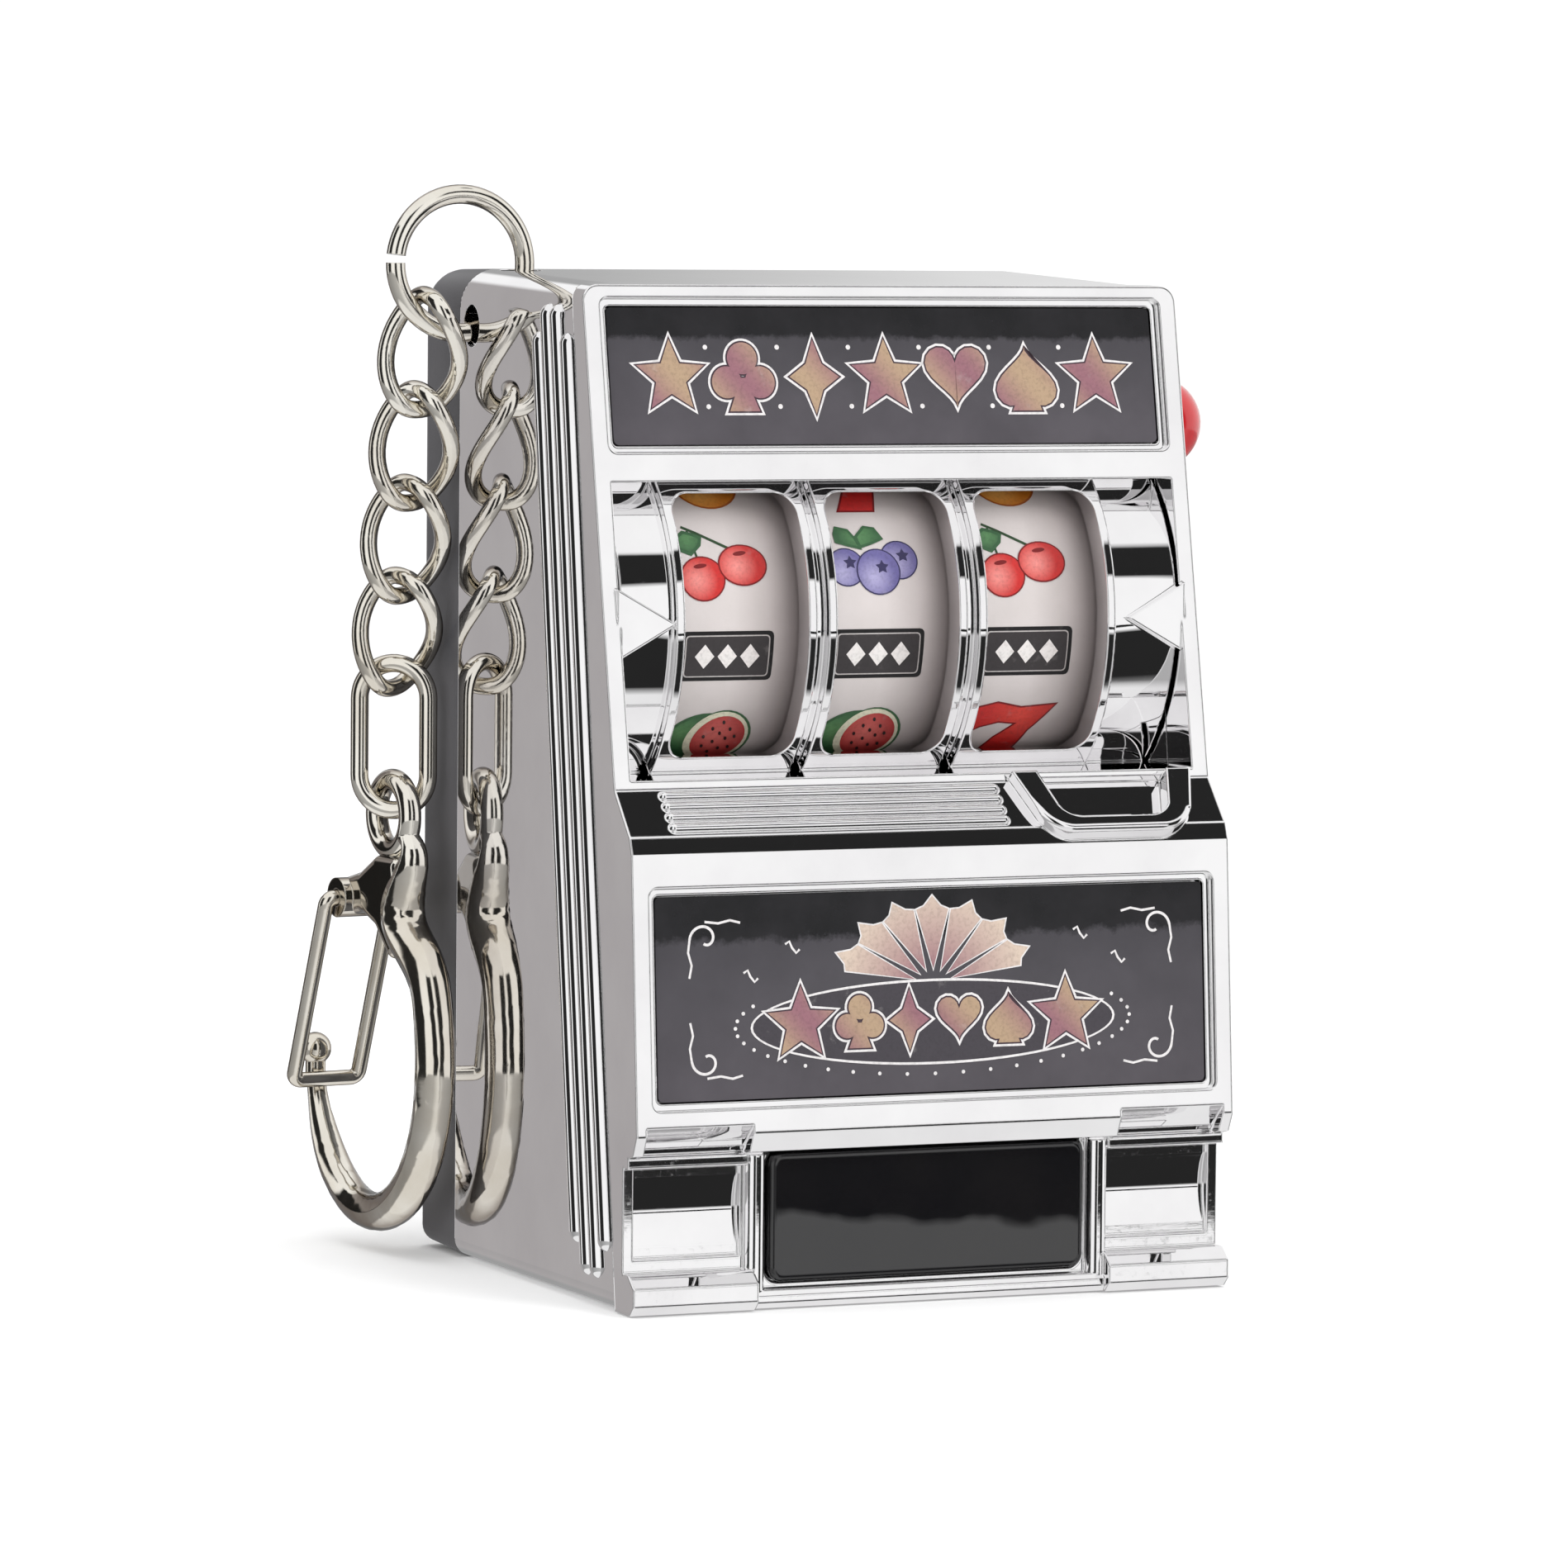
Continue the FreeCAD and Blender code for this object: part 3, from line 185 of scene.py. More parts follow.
def moulded_plastic(name, colour, worn, roughness, grain, coat=0.0, specular=0.5):
    """Moulded plastic: uneven tone, handled patches and a fine grain."""
    material, graph = new_material(name)
    where = graph.place()
    clouds = graph.noise(where, 140.0, 6.0)
    grains = graph.noise(where, 5200.0, 2.0)
    tint = graph.mix(graph.remap(clouds, 0.35, 0.7, 0.0, 1.0), colour, worn)
    rough = graph.remap(clouds, 0.3, 0.75, roughness[0], roughness[1])
    relief = graph.bump(grains, grain, 0.02, graph.rounded(0.12, 4))
    close(graph, {"Base Color": tint, "Roughness": rough, "Normal": relief,
                  "Specular IOR Level": specular, "Coat Weight": coat, "Coat Roughness": 0.05})
    return material


# A label's tone from its foot (0) to its head (1): its own charcoal, growing darker upward, then a nearly
# black band; the darkening and the band are a painted reflection.
LABEL_TONE_AND_PAINTED_REFLECTION = [(0.0, (0.075, 0.068, 0.078)), (0.55, (0.060, 0.056, 0.064)),
               (0.76, (0.050, 0.047, 0.054)), (0.80, (0.004, 0.004, 0.005))]


def label_with_painted_reflection(node):
    """A glossy label: its charcoal tone with a painted reflection that darkens it upward to an uneven, nearly
    black band at the top.
    """
    low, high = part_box(node)
    material, graph = new_material(node + "_print_and_painted_reflection")
    where = graph.place()
    # Painted reflection: the label darkens upward to a nearly black band with an uneven edge.
    share = graph.remap(graph.axis(where, "Z"), low.z, high.z, 0.0, 1.0)
    ragged_reflection_edge = graph.remap(graph.noise(where, 700.0, 8.0, 0.75), 0.2, 0.8, -0.05, 0.05)
    tone_and_reflection = graph.ramp(graph.math("ADD", share, ragged_reflection_edge), LABEL_TONE_AND_PAINTED_REFLECTION)
    clouds = graph.noise(where, 300.0, 4.0)
    tint = graph.mix(graph.remap(clouds, 0.3, 0.7, 0.0, 0.35), tone_and_reflection, (0.03, 0.028, 0.032))
    rough = graph.remap(clouds, 0.3, 0.7, 0.10, 0.18)
    relief = graph.bump(graph.noise(where, 900.0, 3.0), 0.12, 0.01)
    close(graph, {"Base Color": tint, "Roughness": rough, "Normal": relief, "Specular IOR Level": 0.25})
    return material


REEL_PITCH = 0.0091
# Painted shade on a reel's band: how bright it is from its left edge (0) to its right edge (1), darker
# towards the wall on its right.
PAINTED_REEL_SHADE = [(0.0, (0.95, 0.94, 0.94)), (0.45, (0.86, 0.84, 0.84)), (0.66, (0.62, 0.59, 0.59)),
              (0.82, (0.34, 0.31, 0.31)), (1.0, (0.16, 0.14, 0.14))]


def paint_shade_across_reel(graph, where, tint):
    """Paints shade on a band, darker towards the wall on its right; the same painted shade repeats at each
    reel.
    """
    reels = graph.math("ADD", graph.math("DIVIDE", graph.axis(where, "X"), REEL_PITCH), 0.5)
    return graph.mix(1.0, tint, graph.ramp(graph.math("FRACT", reels), PAINTED_REEL_SHADE), "MULTIPLY")


def paper_strip(name):
    """Off-white printed band: faint fibres, slight yellowing, a satin face and painted shade towards the wall
    on its right.
    """
    material, graph = new_material(name)
    where = graph.place()
    clouds = graph.noise(where, 220.0, 5.0)
    fibres = graph.noise(where, 3600.0, 3.0)
    tint = graph.mix(graph.remap(clouds, 0.3, 0.7, 0.0, 1.0), (0.66, 0.62, 0.61), (0.59, 0.555, 0.54))
    tint = graph.mix(graph.remap(fibres, 0.55, 0.8, 0.0, 0.25), tint, (0.55, 0.52, 0.50))
    # Painted shade: the band darkens towards the wall on its right.
    tint = paint_shade_across_reel(graph, where, tint)
    rough = graph.remap(clouds, 0.3, 0.7, 0.38, 0.5)
    close(graph, {"Base Color": tint, "Roughness": rough, "Normal": graph.bump(fibres, 0.2, 0.01)})
    return material


def printing_ink(name, roughness, specular, on_reel=False):
    """Ink whose colour is drawn into the piece, broken up by a fine screen and worn spots; on a reel it also
    gets the reel's painted shade.
    """
    material, graph = new_material(name)
    where = graph.place()
    drawn = graph.add("ShaderNodeAttribute", attribute_name="Tint").outputs["Color"]
    screen = graph.noise(where, 5200.0, 2.0)
    worn = graph.noise(where, 900.0, 6.0)
    tint = graph.mix(graph.remap(screen, 0.45, 0.75, 0.0, 0.22), drawn, grey(0.02))
    tint = graph.mix(graph.remap(worn, 0.62, 0.8, 0.0, 0.35), tint, (0.35, 0.33, 0.32))
    if on_reel:
        # Painted shade, the same as on the reel's band.
        tint = paint_shade_across_reel(graph, where, tint)
    rough = graph.remap(worn, 0.3, 0.7, roughness[0], roughness[1])
    close(graph, {"Base Color": tint, "Roughness": rough, "Normal": graph.bump(screen, 0.1, 0.005),
                  "Specular IOR Level": specular})
    return material


CHROME = {"colour": (0.93, 0.925, 0.93), "tarnish": (0.85, 0.84, 0.85), "roughness": (0.01, 0.03),
          "scratch": 0.03}
finishes = {
    "chrome_plate": plated_metal("chrome_plate", edge_mm=0.18, rays=16, **CHROME),
    "nickel": plated_metal("nickel", (0.88, 0.85, 0.78), (0.70, 0.64, 0.54), (0.05, 0.12), 0.10, 0.3,
                           painted_rim_shade=True),
    "steel": plated_metal("steel", (0.62, 0.62, 0.61), (0.45, 0.43, 0.41), (0.20, 0.34), 0.08, 0.4),
    "spring_steel": plated_metal("spring_steel", (0.42, 0.43, 0.45), (0.30, 0.27, 0.24), (0.24, 0.38),
                                 0.05, 0.4),
    "zinc_screw": plated_metal("zinc_screw", (0.66, 0.66, 0.64), (0.48, 0.46, 0.42), (0.22, 0.36),
                               0.10, 0.4),
    "black_gloss": moulded_plastic("black_gloss", (0.005, 0.005, 0.006), (0.008, 0.0075, 0.008),
                                   (0.0, 0.012), 0.0, specular=0.8),
    "black_satin": moulded_plastic("black_satin", (0.060, 0.060, 0.066), (0.085, 0.083, 0.088),
                                   (0.38, 0.52), 0.25),
    "white_plastic": moulded_plastic("white_plastic", (0.72, 0.71, 0.68), (0.62, 0.60, 0.56),
                                     (0.35, 0.5), 0.2),
    "red_plastic": moulded_plastic("red_plastic", (0.50, 0.008, 0.012), (0.34, 0.005, 0.009),
                                   (0.12, 0.2), 0.05, coat=0.6),
    "printed_strip": paper_strip("printed_strip"),
}
# The housing's fine ribs need sharper edges than the rest of the chrome.
chrome_ribs = plated_metal("chrome_ribs", edge_mm=0.06, rays=8, **CHROME)

slot_of = {part["node"]: part["material_slot"] for part in frame["record"]["subparts"]}
for node, piece in frame["nodes"].items():
    finish = chrome_ribs if node == "main_housing" else finishes.get(slot_of[node])
    piece.data.materials.clear()
    piece.data.materials.append(finish or label_with_painted_reflection(node))

reel_ink = printing_ink("reel_ink", (0.3, 0.45), 0.4, on_reel=True)
label_ink = printing_ink("label_ink", (0.16, 0.28), 0.3)


# ---------------------------------------------------------------- printed art: tools

class Print:
    """Flat shapes laid in thin layers on a surface, coloured corner by corner."""

    LIFT = 0.012
    STEP = 0.004

    def __init__(self, surface=None):
        self.surface = surface
        self.points = []
        self.faces = []
        self.tints = []
        self.layer = 0

    def shape(self, outline, tint, cell=0.5):
        """A filled outline, cut into a grid of cells so that it can curve and be shaded."""
        sheet = bmesh.new()
        sheet.faces.new([sheet.verts.new((u, v, 0)) for u, v in outline])
        bmesh.ops.triangulate(sheet, faces=sheet.faces[:])
        for axis in (0, 1):
            low = min(vert.co[axis] for vert in sheet.verts)
            high = max(vert.co[axis] for vert in sheet.verts)
            normal = (1 - axis, axis, 0)
            for line in range(math.ceil(low / cell), math.floor(high / cell) + 1):
                everything = sheet.verts[:] + sheet.edges[:] + sheet.faces[:]
                bmesh.ops.bisect_plane(sheet, geom=everything, plane_no=normal,
                                       plane_co=tuple(part * line * cell for part in normal))
        first = len(self.points)
        sheet.verts.index_update()
        lift = self.LIFT + self.STEP * self.layer
        for vert in sheet.verts:
            self.points.append(self.surface(vert.co.x, vert.co.y, lift))
            self.tints.append(rgba(tint(vert.co.x, vert.co.y) if callable(tint) else tint))
        for face in sheet.faces:
            self.faces.append([first + vert.index for vert in face.verts])
        sheet.free()
        self.layer += 1

    def stroke(self, points, width, tint):
        """A line of even width, which may curl over itself."""
        first = len(self.points)
        lift = self.LIFT + self.STEP * self.layer
        for index, here in enumerate(points):
            run = Vector(points[min(index + 1, len(points) - 1)]) - Vector(points[max(index - 1, 0)])
            side = Vector((-run.y, run.x)).normalized() * width / 2
            for way in (1, -1):
                self.points.append(self.surface(here[0] + side.x * way, here[1] + side.y * way, lift))
                self.tints.append(rgba(tint))
        for index in range(len(points) - 1):
            start = first + 2 * index
            self.faces.append([start, start + 1, start + 3, start + 2])
        self.layer += 1

    def piece(self, name, body, ink, slot):
        """Makes the mesh of everything drawn so far and lets it ride a body."""
        mesh = bpy.data.meshes.new(name)
        mesh.from_pydata(self.points, [], self.faces)
        tints = mesh.color_attributes.new("Tint", "FLOAT_COLOR", "POINT")
        tints.data.foreach_set("color", [part for tint in self.tints for part in tint])
        mesh.materials.append(ink)
        made = bpy.data.objects.new(name, mesh)
        bpy.context.scene.collection.objects.link(made)
        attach(made, body)


def drum_surface(node, turn_deg, shift):
    """Maps flat art onto a printed strip: turn_deg is the art's middle, upward from the front."""
    low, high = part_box(node)
    centre = (low + high) / 2
    radius = (high.z - low.z) / 2

    def surface(u, v, lift):
        angle = math.radians(turn_deg) + v * MM / radius
        reach = radius + lift * MM
        return (centre.x + (u + shift) * MM, centre.y - reach * math.cos(angle),
                centre.z + reach * math.sin(angle))
    return surface


def front_surface(node):
    """Maps flat art onto a panel's front face, found from the faces that look forward."""
    mesh = frame["nodes"][node].data
    forward = [face for face in mesh.polygons if face.normal.y < -0.9]
    normal = sum((face.normal * face.area for face in forward), Vector()).normalized()
    depth = max(mesh.vertices[index].co.dot(normal) for face in forward for index in face.vertices)
    low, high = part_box(node)
    middle = (low + high) / 2
    middle += normal * (depth - middle.dot(normal))
    up = (Vector((0, 0, 1)) - normal * normal.z).normalized()
    right = up.cross(normal)

    def surface(u, v, lift):
        return tuple(middle + (right * u + up * v + normal * lift) * MM)
    return surface


def ellipse(x, y, wide, tall, turn_deg=0.0, count=30):
    """An ellipse from its two half-widths; count is the number of its corners."""
    turn = math.radians(turn_deg)
    points = []
    for step in range(count):
        angle = 2 * math.pi * step / count
        across = wide * math.cos(angle)
        along = tall * math.sin(angle)
        points.append((x + across * math.cos(turn) - along * math.sin(turn),
                       y + across * math.sin(turn) + along * math.cos(turn)))
    return points


def star(count, outer, inner):
    points = []
    for step in range(2 * count):
        angle = math.pi / 2 + math.pi * step / count
        reach = inner if step % 2 else outer
        points.append((reach * math.cos(angle), reach * math.sin(angle)))
    return points


def rounded_plate(wide, tall, radius):
    points = []
    for right, top, start in ((1, 1, 0), (-1, 1, 90), (-1, -1, 180), (1, -1, 270)):
        for step in range(4):
            angle = math.radians(start + 30 * step)
            points.append((right * (wide / 2 - radius) + radius * math.cos(angle),
                           top * (tall / 2 - radius) + radius * math.sin(angle)))
    return points


def placed(points, x, y):
    return [(x + u, y + v) for u, v in points]


def grown(points, distance):
    """The outline moved outward by a distance, corners kept short."""
    area = sum(a[0] * b[1] - b[0] * a[1] for a, b in zip(points, points[1:] + points[:1]))
    turn = 1 if area > 0 else -1
    result = []
    for index, here in enumerate(points):
        before = Vector(here) - Vector(points[index - 1])
        after = Vector(points[(index + 1) % len(points)]) - Vector(here)
        one = Vector((before.y, -before.x)).normalized() * turn
        two = Vector((after.y, -after.x)).normalized() * turn
        out = one + two
        share = max(out.length / 2, 0.5)
        out = out.normalized() * distance / share if out.length > 1e-6 else one * distance
        result.append((here[0] + out.x, here[1] + out.y))
    return result


def shaded(colour, light, x, y, reach):
    """A rounded thing's tone: light at (x, y), falling to the plain colour at the given reach."""
    def tint(u, v):
        return between_colours(colour, light, max(0.0, 1.0 - math.hypot(u - x, v - y) / reach))
    return tint


# ---------------------------------------------------------------- printed art: reels

# Reel symbols, about 5.5 mm wide, each drawn about its own middle.
RED = (0.56, 0.022, 0.020)
RED_DARK = (0.20, 0.006, 0.008)
RED_LIGHT = (0.72, 0.07, 0.05)
PINK_LIGHT = (0.85, 0.30, 0.27)
LEAF = (0.035, 0.115, 0.045)
LEAF_LIGHT = (0.10, 0.26, 0.10)
STEM = (0.022, 0.060, 0.022)
WHITE = (0.80, 0.78, 0.76)
PLATE = (0.045, 0.040, 0.042)
PLATE_RIM = (0.50, 0.48, 0.47)
PLATE_EDGE = (0.010, 0.009, 0.010)
BERRY_DARK = (0.035, 0.030, 0.10)
BERRY = (0.14, 0.125, 0.33)
BERRY_LIGHT = (0.42, 0.40, 0.62)
MELON_PITH = (0.72, 0.72, 0.55)
MELON_FLESH = (0.42, 0.035, 0.035)
MELON_LIGHT = (0.66, 0.16, 0.14)
MELON_SEED = (0.02, 0.01, 0.01)
ORANGE_DARK = (0.35, 0.09, 0.008)
ORANGE = (0.58, 0.19, 0.015)
ORANGE_LIGHT = (0.80, 0.45, 0.12)
LEMON_DARK = (0.38, 0.27, 0.02)
LEMON = (0.66, 0.50, 0.04)
LEMON_LIGHT = (0.85, 0.75, 0.30)
STAR_DARK = (0.30, 0.18, 0.02)
STAR_GOLD = (0.62, 0.42, 0.05)
STAR_LIGHT = (0.85, 0.70, 0.25)


def draw_cherries(art):
    art.stroke([(-2.2, 2.15), (-1.4, 1.75), (-0.4, 1.2), (0.45, 0.75)], 0.17, STEM)
    art.stroke([(-1.9, 1.9), (-1.75, 1.1), (-1.6, 0.3)], 0.14, STEM)
    leaf = [(-2.95, 1.0), (-2.75, 1.5), (-2.2, 1.92), (-1.6, 1.75), (-1.1, 1.5), (-1.25, 0.95),
            (-1.9, 0.35), (-2.5, 0.6)]
    art.shape(leaf, LEAF)
    art.shape(grown(leaf, -0.2), shaded(LEAF, LEAF_LIGHT, -2.0, 1.4, 0.9))
    for x, y, wide, tall in ((-1.39, -0.94, 1.34, 1.28), (1.05, -0.19, 1.46, 1.2)):
        art.shape(ellipse(x, y, wide, tall), RED_DARK)
        art.shape(ellipse(x, y, wide - 0.09, tall - 0.09),
                  shaded(RED, PINK_LIGHT, x - 0.35, y - 0.1, 1.25), 0.3)
        art.shape(ellipse(x - 0.1, y + tall * 0.55, 0.4, 0.13, 8), RED_DARK)


def draw_berries(art):
    for x, y, radius in ((-1.8, -0.38, 1.12), (1.43, 0.0, 1.14), (0.1, -0.66, 1.33)):
        art.shape(ellipse(x, y, radius, radius), BERRY_DARK)
        art.shape(ellipse(x, y, radius - 0.08, radius - 0.08),
                  shaded(BERRY, BERRY_LIGHT, x - 0.3, y - 0.35, 1.3), 0.3)
        art.shape(placed(star(5, 0.42, 0.22), x + 0.25, y + 0.25), BERRY_DARK)
    left_leaf = [(-2.3, 1.6), (-2.1, 2.08), (-1.33, 1.89), (-0.95, 1.3), (-0.7, 0.6), (-1.52, 0.8),
                 (-2.28, 1.04)]
    right_leaf = [(-0.86, 0.66), (-1.05, 1.42), (-0.38, 2.1), (0.29, 1.98), (0.7, 1.23), (0.0, 0.94)]
    for leaf in (left_leaf, right_leaf):
        art.shape(leaf, LEAF)
        art.shape(grown(leaf, -0.16), shaded(LEAF, LEAF_LIGHT, -0.8, 1.5, 1.2))


def draw_melon(art):
    art.shape(ellipse(-0.75, -0.2, 2.25, 1.95, 24), LEAF)
    art.shape(ellipse(-0.85, -0.2, 2.0, 1.7, 24), shaded(LEAF, LEAF_LIGHT, -1.9, 0.5, 1.3))
    slice_turn = -14
    art.shape(ellipse(0.45, -0.1, 1.95, 2.1, slice_turn), LEAF)
    art.shape(ellipse(0.38, -0.1, 1.86, 2.0, slice_turn), MELON_PITH)
    art.shape(ellipse(0.5, -0.12, 1.55, 1.72, slice_turn),
              shaded(MELON_FLESH, MELON_LIGHT, 0.3, 0.2, 1.7), 0.4)
    for x, y in ((0.55, 1.15), (0.0, 0.7), (1.05, 0.65), (0.5, 0.35), (-0.4, 0.1), (0.95, -0.05),
                 (0.25, -0.3), (-0.3, -0.65), (1.45, 0.1), (0.75, -0.85), (0.2, -1.15), (1.3, -0.75)):
        art.shape(ellipse(x, y, 0.09, 0.16, 20, 8), MELON_SEED)


def draw_seven(art):
    seven = [(-2.5, 1.75), (-1.2, 2.1), (0.3, 1.75), (2.35, 1.95), (1.15, 0.1), (0.55, -2.1),
             (-1.5, -2.1), (-0.7, -0.5), (0.35, 0.65), (-0.8, 0.8), (-1.9, 0.45), (-2.4, 0.1)]
    art.shape(grown(seven, 0.12), RED_DARK)
    art.shape(seven, shaded(RED, RED_LIGHT, 0.4, 1.2, 2.2))


def draw_plate(art):
    """A framed black plate with three plain lozenges."""
    art.shape(rounded_plate(5.5, 2.8, 0.28), PLATE_EDGE)
    art.shape(rounded_plate(5.06, 2.36, 0.22), PLATE_RIM)
    art.shape(rounded_plate(4.92, 2.22, 0.18), PLATE)
    lozenge = [(0.0, 0.68), (-0.58, 0.0), (0.0, -0.68), (0.58, 0.0)]
    for across in (-1.35, 0.0, 1.35):
        art.shape(placed(lozenge, across, 0.0), WHITE)


def draw_orange(art):
    art.shape(ellipse(0, 0, 1.95, 1.9), ORANGE_DARK)
    art.shape(ellipse(0, 0, 1.83, 1.78), shaded(ORANGE, ORANGE_LIGHT, -0.5, -0.4, 1.6), 0.4)
    art.shape([(0.0, 1.7), (0.5, 2.35), (1.4, 2.4), (1.0, 1.8)], LEAF)


def draw_lemon(art):
    lemon_turn = 18
    art.shape(ellipse(0, 0, 2.2, 1.55, lemon_turn), LEMON_DARK)
    art.shape(ellipse(0, 0, 2.06, 1.42, lemon_turn), shaded(LEMON, LEMON_LIGHT, -0.4, 0.3, 1.7), 0.4)
    art.shape(ellipse(2.15, 0.75, 0.32, 0.24, lemon_turn, 12), LEMON_DARK)


def draw_star(art):
    art.shape(star(5, 2.25, 1.0), STAR_DARK)
    art.shape(star(5, 2.0, 0.86), shaded(STAR_GOLD, STAR_LIGHT, -0.2, 0.4, 1.8))


# The symbols round each reel, upward from the one on the pay line.
REELS = {
    "left": (draw_plate, draw_cherries, draw_orange, draw_seven, draw_lemon, draw_berries,
             draw_star, draw_cherries, draw_plate, draw_lemon, draw_melon),
    "centre": (draw_plate, draw_berries, draw_seven, draw_lemon, draw_cherries, draw_star,
               draw_orange, draw_plate, draw_cherries, draw_lemon, draw_melon),
    "right": (draw_plate, draw_cherries, draw_orange, draw_berries, draw_plate, draw_melon,
              draw_lemon, draw_star, draw_cherries, draw_orange, draw_seven),
}
PAY_LINE_DEG = -10.8
SYMBOL_SHIFT = -0.85

for side, symbols in REELS.items():
    reel_art = Print()
    for step, draw in enumerate(symbols):
        turn = PAY_LINE_DEG + 360.0 / len(symbols) * step
        reel_art.surface = drum_surface("strip_" + side, turn, SYMBOL_SHIFT)
        reel_art.layer = 0
        draw(reel_art)
    reel_art.piece("reel_art_" + side, side + "_reel", reel_ink, "printed_strip")


# ---------------------------------------------------------------- printed art: labels

# Label ornament: card suits, stars, a fan of rays, dots and scrolls.
OUTLINE = (0.62, 0.60, 0.60)
SHADOW = (0.05, 0.03, 0.04)
OVAL_FIELD = (0.045, 0.040, 0.048)
ROSE = (0.24, 0.11, 0.135)
GOLD = (0.36, 0.255, 0.165)
CREAM = (0.52, 0.42, 0.345)


def rose_to_gold(u, v):
    return between_colours(ROSE, GOLD, 0.5 + 0.5 * math.sin(u * 0.9 + v * 0.8))


def rose_to_cream(u, v):
    """The fan's tone, palest at the ends of its rays."""
    return between_colours(ROSE, CREAM, min(1.0, max(0.0, (math.hypot(u, v) - 1.0) / 4.5)))


def heart(size):
    points = []
    for step in range(32):
        turn = 2 * math.pi * step / 32
        across = 16 * math.sin(turn) ** 3
        rise = 13 * math.cos(turn) - 5 * math.cos(2 * turn) - 2 * math.cos(3 * turn) - math.cos(4 * turn)
        points.append((across * size / 32, (rise + 2.5) * size / 32))
    return points


def foot(size):
    """The foot under a club or a spade."""
    return [(-0.05 * size, 0.0), (-0.26 * size, -0.52 * size), (0.26 * size, -0.52 * size),
            (0.05 * size, 0.0)]


def suit_shapes(kind, size):
    """The outlines that make one card suit or star, about size mm tall."""
    if kind == "heart":
        return [heart(size)]
    if kind == "diamond":
        return [[(0, 0.58 * size), (-0.14 * size, 0.2 * size), (-0.42 * size, 0),
                 (-0.14 * size, -0.2 * size), (0, -0.58 * size), (0.14 * size, -0.2 * size),
                 (0.42 * size, 0), (0.14 * size, 0.2 * size)]]
    if kind == "spade":
        return [[(u, -v) for u, v in heart(size)], foot(size)]
    if kind == "club":
        leaf = 0.25 * size
        return [ellipse(0, 0.27 * size, leaf, leaf), ellipse(-0.26 * size, -0.08 * size, leaf, leaf),
                ellipse(0.26 * size, -0.08 * size, leaf, leaf), foot(size)]
    return [star(5, 0.56 * size, 0.25 * size)]


def draw_suit(art, kind, x, y, size):
    """A suit or star with a pale outline and a dark line inside it."""
    shapes = [placed(outline, x, y) for outline in suit_shapes(kind, size)]
    for distance, tint, cell in ((0.16, OUTLINE, 2.0), (0.03, SHADOW, 2.0), (-0.06, rose_to_gold, 0.4)):
        for outline in shapes:
            art.shape(grown(outline, distance), tint, cell)


def draw_dot(art, x, y, radius, count):
    art.shape(ellipse(x, y, radius, radius, 0, count), OUTLINE)


def draw_scroll(art, right, top):
    """A corner flourish, a curl with two arms; right and top are 1 or -1 and pick the corner."""
    curl = [(0.9 * math.cos(0.2 * step) * (1 - step / 34), 0.9 * math.sin(0.2 * step) * (1 - step / 34))
            for step in range(26)]
    long_arm = [(0.9, 0.0), (1.0, -0.7), (0.8, -1.4), (0.95, -2.1)]
    short_arm = [(0.0, 0.95), (-0.8, 0.85), (-1.5, 1.0), (-2.1, 0.85)]
    for line, width in ((curl, 0.15), (long_arm, 0.13), (short_arm, 0.13)):
        art.stroke([(right * (13.6 + u), top * (3.3 + v) - 0.1) for u, v in line], width, OUTLINE)


MARQUEE_ROW = ("star", "club", "diamond", "star", "heart", "spade", "star")
MARQUEE_PITCH = 4.3
STAR_TALL = 4.0
SUIT_TALL = 3.8

marquee_art = Print(front_surface("marquee_panel"))
for step, kind in enumerate(MARQUEE_ROW):
    marquee_art.layer = 0
    tall = STAR_TALL if kind == "star" else SUIT_TALL
    draw_suit(marquee_art, kind, (step - 3) * MARQUEE_PITCH, -0.05, tall)
for step in range(len(MARQUEE_ROW) - 1):
    for height in (-1.7, 1.6):
        marquee_art.layer = 0
        draw_dot(marquee_art, (step - 2.5) * MARQUEE_PITCH, height, 0.14, 10)
marquee_art.piece("marquee_art", "case", label_ink, "printed_panel")

FAN_RAYS = 7
FAN_START_DEG = 12
FAN_SPREAD_DEG = 156
FAN_WIDE = 6.3
FAN_TALL = 4.9
FAN_BASE = 0.3
OVAL_MIDDLE = -1.7
BELLY_ROW = (("star", -8.0, 3.9), ("club", -4.5, 2.9), ("diamond", -1.5, 3.1), ("heart", 1.5, 2.7),
             ("spade", 4.5, 2.9), ("star", 8.0, 3.9))
OVAL_LAYER = 3
ROW_LAYER = 5
OVAL_DOTS = 44

belly_art = Print(front_surface("belly_panel"))
for ray in range(FAN_RAYS):
    belly_art.layer = 0
    start = math.radians(FAN_START_DEG + FAN_SPREAD_DEG * ray / FAN_RAYS)
    end = math.radians(FAN_START_DEG + FAN_SPREAD_DEG * (ray + 1) / FAN_RAYS)
    middle = (start + end) / 2
    wedge = [(1.2 * math.cos(middle), FAN_BASE + 0.9 * math.sin(middle))]
    for share in (0.0, 0.25, 0.5, 0.75, 1.0):
        angle = start + (end - start) * (0.04 + 0.92 * share)
        reach = 0.86 + (0.14 if share == 0.5 else 0.04 * math.sin(math.pi * share))
        wedge.append((FAN_WIDE * reach * math.cos(angle), FAN_BASE + FAN_TALL * reach * math.sin(angle)))
    belly_art.shape(grown(wedge, 0.08), OUTLINE, 2.0)
    belly_art.shape(wedge, rose_to_cream, 0.5)

belly_art.layer = OVAL_LAYER
belly_art.shape(ellipse(0, OVAL_MIDDLE, 11.0, 2.35, 0, 64), OUTLINE, 3.0)
belly_art.shape(ellipse(0, OVAL_MIDDLE, 10.86, 2.21, 0, 64), OVAL_FIELD, 3.0)
for kind, across, size in BELLY_ROW:
    belly_art.layer = ROW_LAYER
    draw_suit(belly_art, kind, across, -1.55, size)
for step in range(OVAL_DOTS):
    angle = 2 * math.pi * step / OVAL_DOTS
    if math.sin(angle) < 0.45:
        belly_art.layer = ROW_LAYER
        draw_dot(belly_art, 11.9 * math.cos(angle), OVAL_MIDDLE + 2.85 * math.sin(angle), 0.11, 8)

